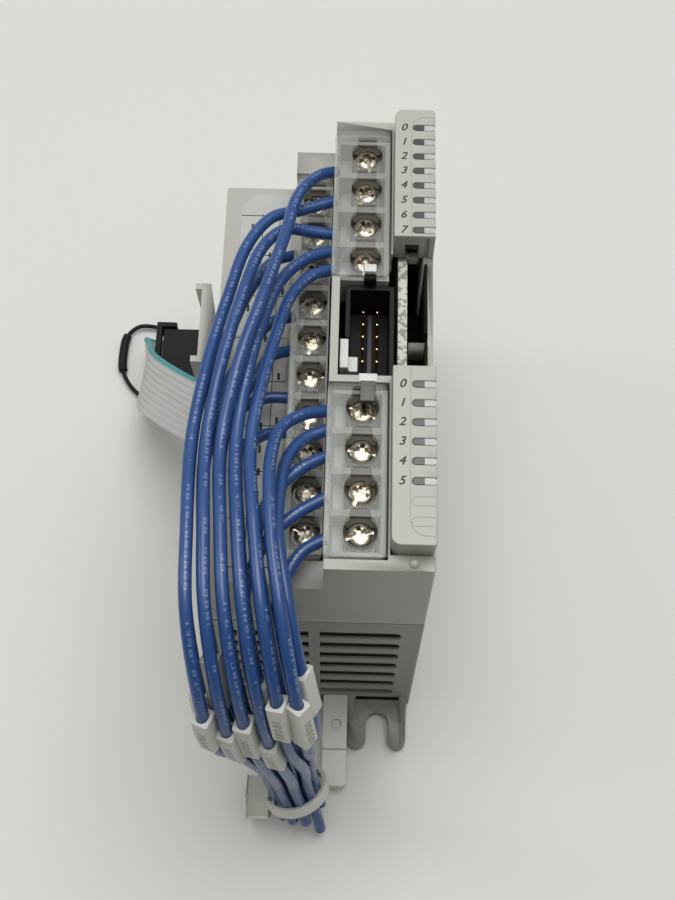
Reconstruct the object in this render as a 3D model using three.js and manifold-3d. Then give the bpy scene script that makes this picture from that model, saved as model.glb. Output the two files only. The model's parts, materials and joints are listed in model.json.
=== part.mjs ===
// A slim input/output expansion module for a small programmable controller, lying on its back.
// Millimetres. Front of the module faces +Z, its top edge faces +Y, its width runs along X.
// The casing is drawn about its own centre lines, and the whole group is then moved so that the
// origin is the bottom centre of the box round the module (its latch pulled out, its wiring left out).
import * as THREE from "three";
import { mergeVertices } from "three/addons/utils/BufferGeometryUtils.js";
import Module from "manifold-3d";

const wasm = await Module();
wasm.setup();

// ---------- driving dimensions ----------
const WIDTH = 40.4;
const HEIGHT = 90;
const WALL = 1.8;
const SEAM = 55; // where the base shell ends and the front housing begins
const DUCT_LEVEL = 60.8; // floor of the open wiring duct
const INNER_LEVEL = 73.1; // top of the inner row's cover
const OUTER_LEVEL = 82.9; // top of the outer row's covers
const BEZEL_LEVEL = 87; // front face of the indicator bezels
const DUCT_EDGE = -5.7; // X where the duct ends and the inner row begins
const OUTER_EDGE = 1.9; // X where the inner row ends and the outer row begins
const BEZEL_EDGE = 12.75; // X where the outer row ends and the bezels begin
const PITCH = 7.62; // terminal pitch
const OUTER_SCREW_X = 7.77;
const INNER_SCREW_X = -1.6;
const OUTER_COUNT = 4;
const INNER_COUNT = 10;
const UPPER_FIRST_Y = 37.75;
const LOWER_FIRST_Y = -15.23;
const INNER_FIRST_Y = 34.4;
const GAP = 0.3; // play between neighbouring mouldings
const MOUNT_PITCH = 100.06; // between the two panel mounting screws
const MOUNT_X = 13.4;
const MOUNT_SLOT = 4.8;
const TAB_THICK = 3;
const TAB_REACH = 10.3; // how far a mounting tab stands past the casing's end
const LATCH_REACH = 19; // how far the pulled-out latch stands past the casing's lower end
const LATCH_TRAVEL = 8;
const GUARD_REACH = 2.8; // how far the wire guard stands out of the left side
const RAIL_HALF = 17.9; // half the height of the rail channel
const WIRE_DIAMETER = 2;
const RIBBON_WIDTH = 12.7;
const RIBBON_THICK = 1;

const SIDE = WIDTH / 2;
const END = HEIGHT / 2;
const ORIGIN = new THREE.Vector3(-GUARD_REACH / 2, (TAB_REACH - LATCH_REACH) / 2, 0);

// ---------- shape helpers ----------
const toSolid = (geometry) => {
  const bare = geometry.index ? geometry.toNonIndexed() : geometry.clone();
  bare.deleteAttribute("normal");
  bare.deleteAttribute("uv");
  const merged = mergeVertices(bare, 1e-4);
  const mesh = new wasm.Mesh({
    numProp: 3,
    vertProperties: new Float32Array(merged.attributes.position.array),
    triVerts: new Uint32Array(merged.index.array),
  });
  return new wasm.Manifold(mesh);
};

const toGeometry = (solid) => {
  const mesh = solid.getMesh();
  const geometry = new THREE.BufferGeometry();
  geometry.setAttribute("position", new THREE.BufferAttribute(mesh.vertProperties, 3));
  geometry.setIndex(new THREE.BufferAttribute(mesh.triVerts, 1));
  return geometry;
};

const joined = (solids) => solids.reduce((whole, solid) => whole.add(solid));
const cutBy = (solid, tools) => tools.reduce((left, tool) => left.subtract(tool), solid);

const block = (x0, x1, y0, y1, z0, z1) => {
  const geometry = new THREE.BoxGeometry(x1 - x0, y1 - y0, z1 - z0);
  geometry.translate((x0 + x1) / 2, (y0 + y1) / 2, (z0 + z1) / 2);
  return toSolid(geometry);
};

// An outline in X and Y, raised from z0 to z1.
const raised = (shape, z0, z1, curveSegments = 6) => {
  const geometry = new THREE.ExtrudeGeometry(shape, { depth: z1 - z0, bevelEnabled: false, curveSegments });
  geometry.translate(0, 0, z0);
  return toSolid(geometry);
};

// An outline in X and Z, drawn out along Y from y0 to y1.
const alongY = (points, y0, y1) => {
  const shape = new THREE.Shape(points.map(([x, z]) => new THREE.Vector2(x, z)));
  const geometry = new THREE.ExtrudeGeometry(shape, { depth: y1 - y0, bevelEnabled: false });
  geometry.rotateX(Math.PI / 2);
  geometry.translate(0, y1, 0);
  return toSolid(geometry);
};

// An outline in Y and Z, drawn out along X from x0 to x1.
const alongX = (points, x0, x1) => {
  const shape = new THREE.Shape(points.map(([y, z]) => new THREE.Vector2(y, z)));
  const geometry = new THREE.ExtrudeGeometry(shape, { depth: x1 - x0, bevelEnabled: false });
  geometry.rotateX(Math.PI / 2);
  geometry.rotateZ(Math.PI / 2);
  geometry.translate(x0, 0, 0);
  return toSolid(geometry);
};

const roundedRect = (x0, x1, y0, y1, radius) => {
  const shape = new THREE.Shape();
  shape.moveTo(x0 + radius, y0);
  shape.lineTo(x1 - radius, y0);
  shape.absarc(x1 - radius, y0 + radius, radius, -Math.PI / 2, 0, false);
  shape.lineTo(x1, y1 - radius);
  shape.absarc(x1 - radius, y1 - radius, radius, 0, Math.PI / 2, false);
  shape.lineTo(x0 + radius, y1);
  shape.absarc(x0 + radius, y1 - radius, radius, Math.PI / 2, Math.PI, false);
  shape.lineTo(x0, y0 + radius);
  shape.absarc(x0 + radius, y0 + radius, radius, Math.PI, Math.PI * 1.5, false);
  return shape;
};

const turned = (profile, segments, x, y) => {
  const geometry = new THREE.LatheGeometry(profile.map(([r, z]) => new THREE.Vector2(r, z)), segments);
  geometry.rotateX(Math.PI / 2);
  geometry.translate(x, y, 0);
  return toSolid(geometry);
};

const series = (count, make) => Array.from({ length: count }, (_, index) => make(index));

// ---------- finishes ----------
const finish = (color, roughness, metalness = 0, opacity = 1) => ({
  color, roughness, metalness, opacity, transparent: opacity < 1,
});
const FINISH = {
  housing: finish("#c9c9bf", 0.55),
  base: finish("#a9a99f", 0.6),
  clear: finish("#dfe3e0", 0.12, 0, 0.35),
  screw: finish("#cfc6b2", 0.25, 0.9),
  board: finish("#b9b38f", 0.6),
  black: finish("#151517", 0.45),
  pin: finish("#d8c078", 0.3, 0.9),
  latch: finish("#dedcd2", 0.4),
  label: finish("#dcdcd8", 0.5),
  relay: finish("#e8e6dc", 0.5),
  lens: finish("#6f706c", 0.25),
  ribbon: finish("#cfd0cd", 0.5),
  wire: finish("#2f5fae", 0.3),
  tie: finish("#dcd8c4", 0.4),
};

const object = new THREE.Group();
const casing = new THREE.Group();
casing.position.copy(ORIGIN).negate();
object.add(casing);

const addNode = (name, solid, finishName) => {
  const mesh = new THREE.Mesh(toGeometry(solid), new THREE.MeshStandardMaterial(FINISH[finishName]));
  mesh.name = name;
  casing.add(mesh);
};

// ---------- base shell ----------
const VENT_TALL = 3.6;
const VENT_COUNT = 7;
const VENT_PITCH = 6.35;
const VENT_TOP = 47.5;
const FLOOR_THICK = 9.4; // casing floor over the rail channel
const CHANNEL_DEEP = 7.6;
const LIP = 1.9; // fixed lip that hooks over the rail's upper edge
const FLANGE_LEVEL = 6.1; // the rail's flange lies between this and the channel's floor
const LATCH = { x0: 1.9, x1: 7, z0: 2.2, z1: 5.7 };
const PLAY = 0.4; // round the latch in its tunnel
const RIBBON_SLOT = { y0: -3.3, y1: 10.1, z0: 36.5, z1: 41.5 };

// A vent's outline in X and Z: square at its inner end, rounded at the end near the casing's side.
const ventOutline = (inner, outer, middle) => {
  const sign = Math.sign(outer - inner);
  const half = VENT_TALL / 2;
  const upper = [[outer, half - 1.2], [outer - sign * 0.35, half - 0.35], [outer - sign * 1.2, half],
    [inner, half]];
  const lower = upper.map(([x, z]) => [x, -z]).reverse();
  const outline = [...lower, ...upper].map(([x, z]) => [x, z + middle]);
  return sign > 0 ? outline : outline.reverse();
};

const makeBase = () => {
  const shell = block(-SIDE, SIDE, -END, END, 0, SEAM);
  const inside = SIDE - WALL;
  const lowRoom = [
    block(-inside, inside, RAIL_HALF + 2, END - WALL, WALL, FLOOR_THICK + 1),
    block(-inside, LATCH.x0 - 2.2, WALL - END, -RAIL_HALF - 2, WALL, FLOOR_THICK + 1),
    block(LATCH.x1 + 2.2, inside, WALL - END, -RAIL_HALF - 2, WALL, FLOOR_THICK + 1),
  ];
  const vents = series(VENT_COUNT, (row) => {
    const middle = VENT_TOP - row * VENT_PITCH;
    return [[1.2, 16.3], [-0.9, -16.3]].flatMap(([inner, outer]) =>
      [-END, END].map((end) => alongY(ventOutline(inner, outer, middle), end - 2.2, end + 2.2)));
  }).flat();
  const tools = [
    block(-inside, inside, WALL - END, END - WALL, FLOOR_THICK, SEAM + 1),
    ...lowRoom,
    ...vents,
    block(-SIDE - 1, SIDE + 1, -RAIL_HALF, RAIL_HALF - LIP, -1, CHANNEL_DEEP),
    block(-SIDE - 1, SIDE + 1, RAIL_HALF - LIP - 1, RAIL_HALF, FLANGE_LEVEL, CHANNEL_DEEP),
    block(LATCH.x0 - PLAY, LATCH.x1 + PLAY, -END - 1, 1 - RAIL_HALF, LATCH.z0 - PLAY, LATCH.z1 + PLAY),
    block(-SIDE - 1, -inside + 1, RIBBON_SLOT.y0, RIBBON_SLOT.y1, RIBBON_SLOT.z0, RIBBON_SLOT.z1),
  ];
  return joined([cutBy(shell, tools), makeLowerTab(), makeUpperTab()]);
};

const TAB = { x0: 7, x1: 19.4, root: 1.5 };

// A side rib of a mounting tab: a wedge from the casing's end wall down to the tab's face.
const tabRib = (x0, x1, sign) => {
  const outline = [[sign * (END - 0.5), TAB_THICK - 0.5], [sign * (END + 5), TAB_THICK - 0.5],
    [sign * (END + 5), TAB_THICK + 0.2], [sign * END, TAB_THICK + 3], [sign * (END - 0.5), TAB_THICK + 3]];
  return alongX(sign > 0 ? outline : outline.reverse(), x0, x1);
};

const makeLowerTab = () => {
  const tip = -END - TAB_REACH;
  const centre = -MOUNT_PITCH / 2;
  const half = MOUNT_SLOT / 2;
  const left = MOUNT_X - half;
  const right = MOUNT_X + half;
  const leftRound = (left - TAB.x0) / 2;
  const rightRound = (TAB.x1 - right) / 2;
  const shape = new THREE.Shape();
  shape.moveTo(TAB.x0, -END + TAB.root);
  shape.lineTo(TAB.x0, tip + leftRound);
  shape.absarc(TAB.x0 + leftRound, tip + leftRound, leftRound, Math.PI, 2 * Math.PI, false);
  shape.lineTo(left, centre);
  shape.absarc(MOUNT_X, centre, half, Math.PI, 0, true);
  shape.lineTo(right, tip + rightRound);
  shape.absarc(right + rightRound, tip + rightRound, rightRound, Math.PI, 2 * Math.PI, false);
  shape.lineTo(TAB.x1, -END + TAB.root);
  return joined([raised(shape, 0, TAB_THICK), tabRib(TAB.x0, TAB.x0 + 1.4, -1),
    tabRib(TAB.x1 - 1.4, TAB.x1, -1)]);
};

const makeUpperTab = () => {
  const shape = roundedRect(TAB.x0, TAB.x1, END - TAB.root, END + TAB_REACH, 1.2);
  const hole = new THREE.Path();
  hole.absarc(MOUNT_X, MOUNT_PITCH / 2, MOUNT_SLOT / 2, 0, 2 * Math.PI, true);
  shape.holes.push(hole);
  return joined([raised(shape, 0, TAB_THICK), tabRib(TAB.x0, TAB.x0 + 1.4, 1),
    tabRib(TAB.x1 - 1.4, TAB.x1, 1)]);
};

addNode("base_shell", makeBase(), "base");

// ---------- rail latch, pulled out by its travel ----------
const makeLatch = () => {
  const outer = -END - LATCH_REACH;
  const inner = -RAIL_HALF + 2 - LATCH_TRAVEL;
  const noseEnd = inner - 2.4;
  const bar = alongX([[outer + 7.6, LATCH.z0], [noseEnd, LATCH.z0], [inner, LATCH.z1 - 1.2],
    [inner, LATCH.z1], [outer + 7.6, LATCH.z1]], LATCH.x0, LATCH.x1);
  const grip = raised(roundedRect(LATCH.x0, LATCH.x1, outer, outer + 8, 0.8), LATCH.z0, LATCH.z1 - 0.9, 3);
  const dimple = turned([[0, LATCH.z1 - 0.8], [1.1, LATCH.z1 - 0.8], [1.1, LATCH.z1 + 1], [0, LATCH.z1 + 1]],
    10, 4.7, -51.2);
  return joined([bar, grip]).subtract(dimple);
};
addNode("din_rail_latch", makeLatch(), "latch");

// ---------- front housing ----------
const BEZEL_SEAT = 79.6;
const OPENING = { x0: 3.3, x1: 19.2, y0: -9.2, y1: 15.6 }; // over the bus connector
const UPPER_BLOCK = { y0: 11, y1: 43.1 };
const LOWER_BLOCK = { y0: -43, y1: -10.8 };
const INNER_BLOCK = { y0: -40, y1: 40 };
const OUTER_FLOOR = 73.5;
const INNER_FLOOR = 61.1;
const BLOCK_RIGHT = 12.1;
const INNER_RIGHT = 1.4;

const makeHousing = () => {
  const s = SIDE;
  const t = s - WALL;
  const base = SEAM + GAP;
  const outer = alongY([[-s, base], [s, base], [s, OUTER_LEVEL], [OUTER_EDGE, OUTER_LEVEL],
    [OUTER_EDGE, INNER_LEVEL], [DUCT_EDGE, INNER_LEVEL], [DUCT_EDGE, DUCT_LEVEL], [-s, DUCT_LEVEL]],
  -END, END);
  const inner = alongY([[-t, base - 1], [t, base - 1], [t, OUTER_LEVEL - WALL],
    [OUTER_EDGE + WALL, OUTER_LEVEL - WALL], [OUTER_EDGE + WALL, INNER_LEVEL - WALL],
    [DUCT_EDGE + WALL, INNER_LEVEL - WALL], [DUCT_EDGE + WALL, DUCT_LEVEL - WALL], [-t, DUCT_LEVEL - WALL]],
  WALL - END, END - WALL);
  const high = OUTER_LEVEL + 5;
  const tools = [
    inner,
    block(OUTER_EDGE - GAP, BLOCK_RIGHT + GAP, UPPER_BLOCK.y0 - GAP, UPPER_BLOCK.y1 + 0.2, OUTER_FLOOR, high),
    block(OUTER_EDGE - GAP, BLOCK_RIGHT + GAP, LOWER_BLOCK.y0 - 0.2, LOWER_BLOCK.y1 + GAP, OUTER_FLOOR, high),
    block(DUCT_EDGE - 1, INNER_RIGHT + GAP, INNER_BLOCK.y0, INNER_BLOCK.y1, INNER_FLOOR, INNER_LEVEL + 0.2),
    block(OPENING.x0, OPENING.x1, OPENING.y0, OPENING.y1, DUCT_LEVEL, high),
    block(OPENING.x1 - 0.5, s + 1, OPENING.y0, OPENING.y1, BEZEL_SEAT - 0.6, high),
    block(BEZEL_EDGE - 0.05, s + 1, OPENING.y1 - 0.5, END + 1, BEZEL_SEAT, high),
    block(BEZEL_EDGE - 0.05, s + 1, -42.3, OPENING.y0 + 0.5, BEZEL_SEAT, high),
  ];
  const crossBar = block(OPENING.x1 - 3.3, OPENING.x1 + 0.5, -0.5, 0.8, 73, 77);
  const bump = turned([[0, OUTER_LEVEL - 0.4], [0.9, OUTER_LEVEL - 0.4], [0.9, OUTER_LEVEL + 0.2],
    [0.5, OUTER_LEVEL + 0.7], [0, OUTER_LEVEL + 0.85]], 10, 16.7, -43.7);
  return joined([cutBy(outer, tools), crossBar, bump, makeGuard()]);
};

// The wire guard: an upright wall at the duct's outer edge, with a tapering rib at each of its ends.
const makeGuard = () => {
  const y0 = -4.7;
  const y1 = 11.5;
  const top = 78;
  const rib = 1.2;
  const outer = -SIDE - GUARD_REACH;
  const inner = -SIDE - GAP;
  const wedge = [[outer, top], [outer + 2, top], [inner, top - 2], [inner, 38], [inner - 0.3, 38]];
  return joined([
    block(-SIDE - 1.6, -SIDE + 0.2, y0, y1, SEAM + 1, DUCT_LEVEL - 0.2),
    block(-SIDE - 1.6, -SIDE, y0, y1, SEAM + 1, top),
    alongY(wedge.slice().reverse(), y0, y0 + rib),
    alongY(wedge.slice().reverse(), y1 - rib, y1),
  ]);
};
addNode("housing_shell", makeHousing(), "housing");

// ---------- indicator bezels ----------
const SLOT = { x0: 16.1, tall: 1.3 };
const BEZEL_SKIN = 1.6; // thickness of a bezel's face
const UPPER_SLOTS = { count: 8, first: 40.84, pitch: 3.225 };
const LOWER_SLOTS = { count: 6, first: -12.78, pitch: 3.591 };

const slotPlaces = (rule) => series(rule.count, (index) => rule.first - index * rule.pitch);

const bezelOutline = (y0, y1, endRadius, sign) => {
  const far = sign > 0 ? y1 : y0;
  const near = sign > 0 ? y0 : y1;
  const x0 = BEZEL_EDGE;
  const shape = new THREE.Shape();
  shape.moveTo(x0, near);
  shape.lineTo(SIDE, near);
  shape.lineTo(SIDE, far - sign * 0.4);
  shape.lineTo(SIDE - 0.4, far);
  shape.lineTo(x0 + endRadius, far);
  shape.absarc(x0 + endRadius, far - sign * endRadius, endRadius, (sign * Math.PI) / 2,
    sign * Math.PI, sign < 0);
  return shape;
};

const makeBezel = (y0, y1, sign, rule) => {
  const low = BEZEL_SEAT + GAP;
  const body = raised(bezelOutline(y0, y1, 1.6, sign), low, BEZEL_LEVEL);
  const room = block(BEZEL_EDGE + 1.2, SIDE - 1.2, y0 + 1.2, y1 - 1.2, low - 1, BEZEL_LEVEL - BEZEL_SKIN);
  const slots = slotPlaces(rule).map((y) =>
    raised(roundedRect(SLOT.x0, SIDE + 2, y - SLOT.tall / 2, y + SLOT.tall / 2, 0.6),
      BEZEL_LEVEL - BEZEL_SKIN - 0.7, BEZEL_LEVEL + 1, 2));
  const near = sign > 0 ? y0 : y1;
  const notch = block(14.9, 17.3, near - 1.6, near + 1.6, low - 1, low + 4.2);
  const post = block(18.3, 19.1, near - 0.5, near + 0.5, low - 1, BEZEL_LEVEL - 0.8);
  return cutBy(body, [room, ...slots, notch, post]);
};
addNode("upper_indicator_bezel", makeBezel(16.9, END, 1, UPPER_SLOTS), "housing");
addNode("lower_indicator_bezel", makeBezel(-42, -9.2, -1, LOWER_SLOTS), "housing");

// A light pipe: one clear tooth in every slot, on a strip that lies under the bezel's face.
const makeLightPipe = (rule) => {
  const places = slotPlaces(rule);
  const teeth = places.map((y) =>
    raised(roundedRect(SLOT.x0 + 0.1, SIDE - 0.05, y - SLOT.tall / 2 + 0.08, y + SLOT.tall / 2 - 0.08, 0.5),
      BEZEL_LEVEL - BEZEL_SKIN - 0.6, BEZEL_LEVEL - 0.1, 2));
  const strip = block(SLOT.x0 + 0.4, SLOT.x0 + 2.4, places[places.length - 1] - 0.1, places[0] + 0.1,
    BEZEL_LEVEL - BEZEL_SKIN - 1.6, BEZEL_LEVEL - BEZEL_SKIN - 0.3);
  return joined([strip, ...teeth]);
};
addNode("input_light_pipe", makeLightPipe(UPPER_SLOTS), "lens");
addNode("output_light_pipe", makeLightPipe(LOWER_SLOTS), "lens");

// ---------- terminal rows ----------
const outerRow = (first) => series(OUTER_COUNT, (index) => first - index * PITCH);
const innerRow = series(INNER_COUNT, (index) => INNER_FIRST_Y - index * PITCH);
const BARRIER = 1.2;

// A flat metal plate with a round hole for the screw's shank.
const holedPlate = (x0, x1, y, half, z0, z1, holeX) => {
  const shape = roundedRect(x0, x1, y - half, y + half, 0.4);
  const hole = new THREE.Path();
  hole.absarc(holeX, y, SHANK_RADIUS + 0.3, 0, 2 * Math.PI, true);
  shape.holes.push(hole);
  return raised(shape, z0, z1, 6);
};

// A comb-shaped moulding: a floor with a barrier on each side of every terminal, and a closed back.
// The contact under each wire and the captive clamp plate over it are held in the moulding's walls.
const makeTerminalBlock = (places, x0, x1, floor, top, screwX, headUnder, back) => {
  const foot = floor + 1.3;
  const half = (PITCH - BARRIER) / 2 + 0.2;
  const metal = places.flatMap((y) => [
    holedPlate(screwX - 2.7, screwX + 2.7, y, half, headUnder - 0.8, headUnder - 0.2, screwX),
    holedPlate(x0 + 0.4, x1 - back / 2, y, half, headUnder - 3.7, headUnder - 3.1, screwX),
  ]);
  const body = block(x0, x1, places[places.length - 1] - PITCH / 2 - 0.1, places[0] + PITCH / 2 + 0.1,
    floor, top);
  const bays = places.map((y) =>
    block(x0 - 1, x1 - back, y - (PITCH - BARRIER) / 2, y + (PITCH - BARRIER) / 2, foot, top + 1));
  return joined([cutBy(body, bays), ...metal]);
};
const OUTER_BARRIER_TOP = 81.2;
const INNER_BARRIER_TOP = 71.3;
const OUTER_HEAD_TOP = 81.2;
const INNER_HEAD_TOP = 71.1;
const HEAD_RADIUS = 2.4;
const SHANK_RADIUS = 1.4;
const HEAD_TALL = 1.9;
addNode("upper_terminal_block", makeTerminalBlock(outerRow(UPPER_FIRST_Y), OUTER_EDGE + 0.8, BLOCK_RIGHT,
  OUTER_FLOOR + GAP, OUTER_BARRIER_TOP, OUTER_SCREW_X, OUTER_HEAD_TOP - HEAD_TALL, 0.9), "housing");
addNode("lower_terminal_block", makeTerminalBlock(outerRow(LOWER_FIRST_Y), OUTER_EDGE + 0.8, BLOCK_RIGHT,
  OUTER_FLOOR + GAP, OUTER_BARRIER_TOP, OUTER_SCREW_X, OUTER_HEAD_TOP - HEAD_TALL, 0.9), "housing");
addNode("inner_terminal_block", makeTerminalBlock(innerRow, DUCT_EDGE + 1.1, INNER_RIGHT,
  INNER_FLOOR + GAP, INNER_BARRIER_TOP, INNER_SCREW_X, INNER_HEAD_TOP - HEAD_TALL, 0.3), "housing");

// A finger guard of clear plastic with a keyhole over every screw and a short lip over the wires.
const makeCover = (places, holeX, span, x0, x1, top, hole) => {
  const shape = roundedRect(x0, x1, span.y0, span.y1, 0.8);
  for (const y of places) {
    const path = new THREE.Path();
    const open = Math.acos(hole.neck / hole.radius);
    path.absarc(holeX, y, hole.radius, Math.PI - open, open, false);
    path.lineTo(holeX + hole.neck, y + hole.reach);
    path.lineTo(holeX - hole.neck, y + hole.reach);
    shape.holes.push(path);
  }
  const plate = raised(shape, top - 1.3, top);
  const lip = block(x0, x0 + 0.7, span.y0 + 0.9, span.y1 - 0.9, top - 2.9, top - 1);
  return joined([plate, lip]);
};
const OUTER_HOLE = { radius: 2.85, neck: 1.75, reach: 3.9 };
const INNER_HOLE = { radius: 2.6, neck: 1.55, reach: 3.8 };
addNode("upper_terminal_cover", makeCover(outerRow(UPPER_FIRST_Y), OUTER_SCREW_X,
  { y0: 11.1, y1: 43 }, OUTER_EDGE - 0.25, BLOCK_RIGHT, OUTER_LEVEL, OUTER_HOLE), "clear");
addNode("lower_terminal_cover", makeCover(outerRow(LOWER_FIRST_Y), OUTER_SCREW_X,
  { y0: -42.9, y1: -10.8 }, OUTER_EDGE - 0.25, BLOCK_RIGHT, OUTER_LEVEL, OUTER_HOLE), "clear");
addNode("inner_terminal_cover", makeCover(innerRow, INNER_SCREW_X,
  { y0: -39.7, y1: 39.7 }, DUCT_EDGE + 0.1, INNER_RIGHT, INNER_LEVEL, INNER_HOLE), "clear");

// ---------- terminal screws ----------
const screws = (prefix, places, x, top) =>
  places.map((y, index) => ({ name: `${prefix}_screw_${index + 1}`, x, y, top }));
const terminals = [
  ...screws("upper", outerRow(UPPER_FIRST_Y), OUTER_SCREW_X, OUTER_HEAD_TOP),
  ...screws("lower", outerRow(LOWER_FIRST_Y), OUTER_SCREW_X, OUTER_HEAD_TOP),
  ...screws("inner", innerRow, INNER_SCREW_X, INNER_HEAD_TOP),
];

const makeScrew = ({ x, y, top }) => {
  const under = top - HEAD_TALL;
  const body = turned([[0, under - 3.9], [SHANK_RADIUS, under - 3.9], [SHANK_RADIUS, under],
    [HEAD_RADIUS, under], [HEAD_RADIUS, top - 0.7], [HEAD_RADIUS - 0.8, top - 0.1], [0, top]], 12, x, y);
  const slot = block(x - 3, x + 3, y - 0.35, y + 0.35, top - 0.9, top + 1);
  const cross = block(x - 0.35, x + 0.35, y - 1.4, y + 1.4, top - 1.1, top + 1);
  return cutBy(body, [slot, cross]);
};
terminals.forEach((terminal) => addNode(terminal.name, makeScrew(terminal), "screw"));

// ---------- circuit boards and what stands on them ----------
const BOARD = { x0: 13.8, x1: 15.4 };
const makeMainBoard = () => {
  const sheet = alongX([[-41, 14], [41, 14], [41, 78.6], [OPENING.y1 - 0.4, 78.6],
    [OPENING.y1 - 0.4, 81], [OPENING.y0 + 0.4, 81], [OPENING.y0 + 0.4, 78.6], [-41, 78.6]],
  BOARD.x0, BOARD.x1);
  const lamps = [...slotPlaces(UPPER_SLOTS), ...slotPlaces(LOWER_SLOTS)].map((y) =>
    block(BOARD.x1 - 0.2, BOARD.x1 + 2.2, y - 0.7, y + 0.7, 76.8, 78.4));
  return joined([sheet, ...lamps]);
};
addNode("main_circuit_board", makeMainBoard(), "board");

const RELAY_FLOOR = 30;
addNode("relay_board", block(-17.5, 13.3, -41, 41, RELAY_FLOOR, RELAY_FLOOR + 1.6), "board");
const makeRelays = () => {
  const carrier = block(-3, 12, -36.1, 36.1, RELAY_FLOOR + 1.9, RELAY_FLOOR + 2.6);
  const relays = series(6, (index) => {
    const y = -31 + index * 12.4;
    return block(-3, 12, y - 5.1, y + 5.1, RELAY_FLOOR + 2, RELAY_FLOOR + 17);
  });
  return joined([carrier, ...relays]);
};
addNode("output_relay_bank", makeRelays(), "relay");

const HEADER = { x0: 4.4, x1: 13.2, y0: -8.8, y1: 10.6, z0: 69.5, z1: 80 };
const makeHeader = () => {
  const rim = 0.9;
  const body = block(HEADER.x0, HEADER.x1, HEADER.y0, HEADER.y1, HEADER.z0, HEADER.z1);
  const room = block(HEADER.x0 + rim, HEADER.x1 - rim, HEADER.y0 + rim, HEADER.y1 - rim,
    HEADER.z0 + 1.6, HEADER.z1 + 1);
  const keyway = block(HEADER.x0 - 1, HEADER.x0 + rim + 0.1, -6.7, -0.1, 73.8, HEADER.z1 + 1);
  return cutBy(body, [room, keyway]);
};
addNode("bus_header", makeHeader(), "black");
const makePins = () => {
  const carrier = block(7.2, 10.7, -3.7, 7.7, HEADER.z0 + 1.7, HEADER.z0 + 2.4);
  const pins = series(10, (index) => {
    const x = index % 2 ? 10.2 : 7.66;
    const y = 2 + (Math.floor(index / 2) - 2) * 2.54;
    return block(x - 0.32, x + 0.32, y - 0.32, y + 0.32, HEADER.z0 + 1.8, HEADER.z1 - 3.4);
  });
  return joined([carrier, ...pins]);
};
addNode("bus_header_pins", makePins(), "pin");
const makeKey = () => joined([block(3.6, 5.1, -6.3, -0.5, 74.2, 80.2), block(4.9, 6.8, -5.6, -2.6, 74.6, 77.4)]);
addNode("bus_header_key", makeKey(), "housing");

// ---------- wiring label in the duct ----------
const makeLabel = () => {
  const points = [[-17, -40], [-6.7, -40], [-6.7, 43.4], [-14.4, 43.4], [-17, 40.4]];
  const shape = new THREE.Shape(points.map(([x, y]) => new THREE.Vector2(x, y)));
  return raised(shape, DUCT_LEVEL + 0.05, DUCT_LEVEL + 0.2);
};
addNode("wiring_label", makeLabel(), "label");

// ---------- swept pieces: wires, ribbon and loop ----------
const vector = (values) => new THREE.Vector3(...values);

const regularSection = (radius, sides) => {
  const corner = (index) => new THREE.Vector2(
    radius * Math.cos((2 * Math.PI * index) / sides), radius * Math.sin((2 * Math.PI * index) / sides));
  return new THREE.Shape(series(sides, corner));
};

const smooth = (points) => new THREE.CatmullRomCurve3(points, false, "centripetal");

const sweep = (curve, section, steps, curveSegments = 2) =>
  toSolid(new THREE.ExtrudeGeometry(section, { steps, bevelEnabled: false, curveSegments, extrudePath: curve }));

// Every wire keeps one lane of the bundle: a place across it, a row down into it, and a place on the
// ring (or the core) that the cable tie gathers the wires into, as an angle from the bundle's front.
const RING = 4.15;
const CORE = 2.05;
const LANES = {
  U1: { across: -0.5, row: 0, angle: -18, radius: RING },
  U2: { across: -2.5, row: 0, angle: -90, radius: RING },
  U3: { across: -1.5, row: 0, angle: -54, radius: RING },
  U4: { across: 0.5, row: 0, angle: 18, radius: RING },
  U5: { across: 1.5, row: 0, angle: 54, radius: RING },
  L1: { across: 2.5, row: 0, angle: 90, radius: RING },
  L2: { across: 2.9, row: 1, angle: 126, radius: RING },
  L3: { across: 1.6, row: 1, angle: 108, radius: CORE },
  L4: { across: 0, row: 2, angle: 180, radius: CORE },
  L5: { across: 1.7, row: 2, angle: 162, radius: RING },
  M1: { across: -2.6, row: 1, angle: -126, radius: RING },
  M2: { across: -1.6, row: 1, angle: -108, radius: CORE },
  M3: { across: -0.55, row: 1, angle: -36, radius: CORE },
  M4: { across: -1.7, row: 2, angle: -162, radius: RING },
  M5: { across: 0.55, row: 1, angle: 36, radius: CORE },
};

// Stations of the bundle: its middle, the way its front faces, and the spacing of lanes and rows.
const STATIONS = [
  { middle: [-14.6, -24, 85.5], front: [0, 0, 1], lane: 2.5, row: 3 },
  { middle: [-13.5, -40, 88], front: [0, 0, 1], lane: 2.7, row: 2.8 },
  { middle: [-12, -54, 87], front: [0, -0.4, 0.92], lane: 3, row: 2.9 },
  { middle: [-9.8, -65, 77], front: [0, -0.85, 0.53], lane: 3.12, row: 3.1 },
  { middle: [-7.8, -69.5, 62], front: [0, -1, 0.1], lane: 3.12, row: 3.1 },
];

// Below them it closes up into a ring round a core: its middle, the way it runs, and its spread.
const GATHERED = [
  { middle: [-4.8, -66.1, 42], axis: [0.12, -0.05, -1], spread: 1.14 },
  { middle: [-4.2, -65, 22], axis: [0.1, -0.15, -1], spread: 1.03 },
  { middle: [-3, -66.4, 12], axis: [0.16, -0.36, -0.92], spread: 1 },
];
const TIE = { middle: GATHERED[2].middle, axis: [0.28, -0.5, -0.82] };
const CUT_END = 5; // wire left past the tie

const OUT = 77.4; // height of the wires where they leave the outer rows
const IN = 66.8; // height of the wires where they leave the inner row

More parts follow.
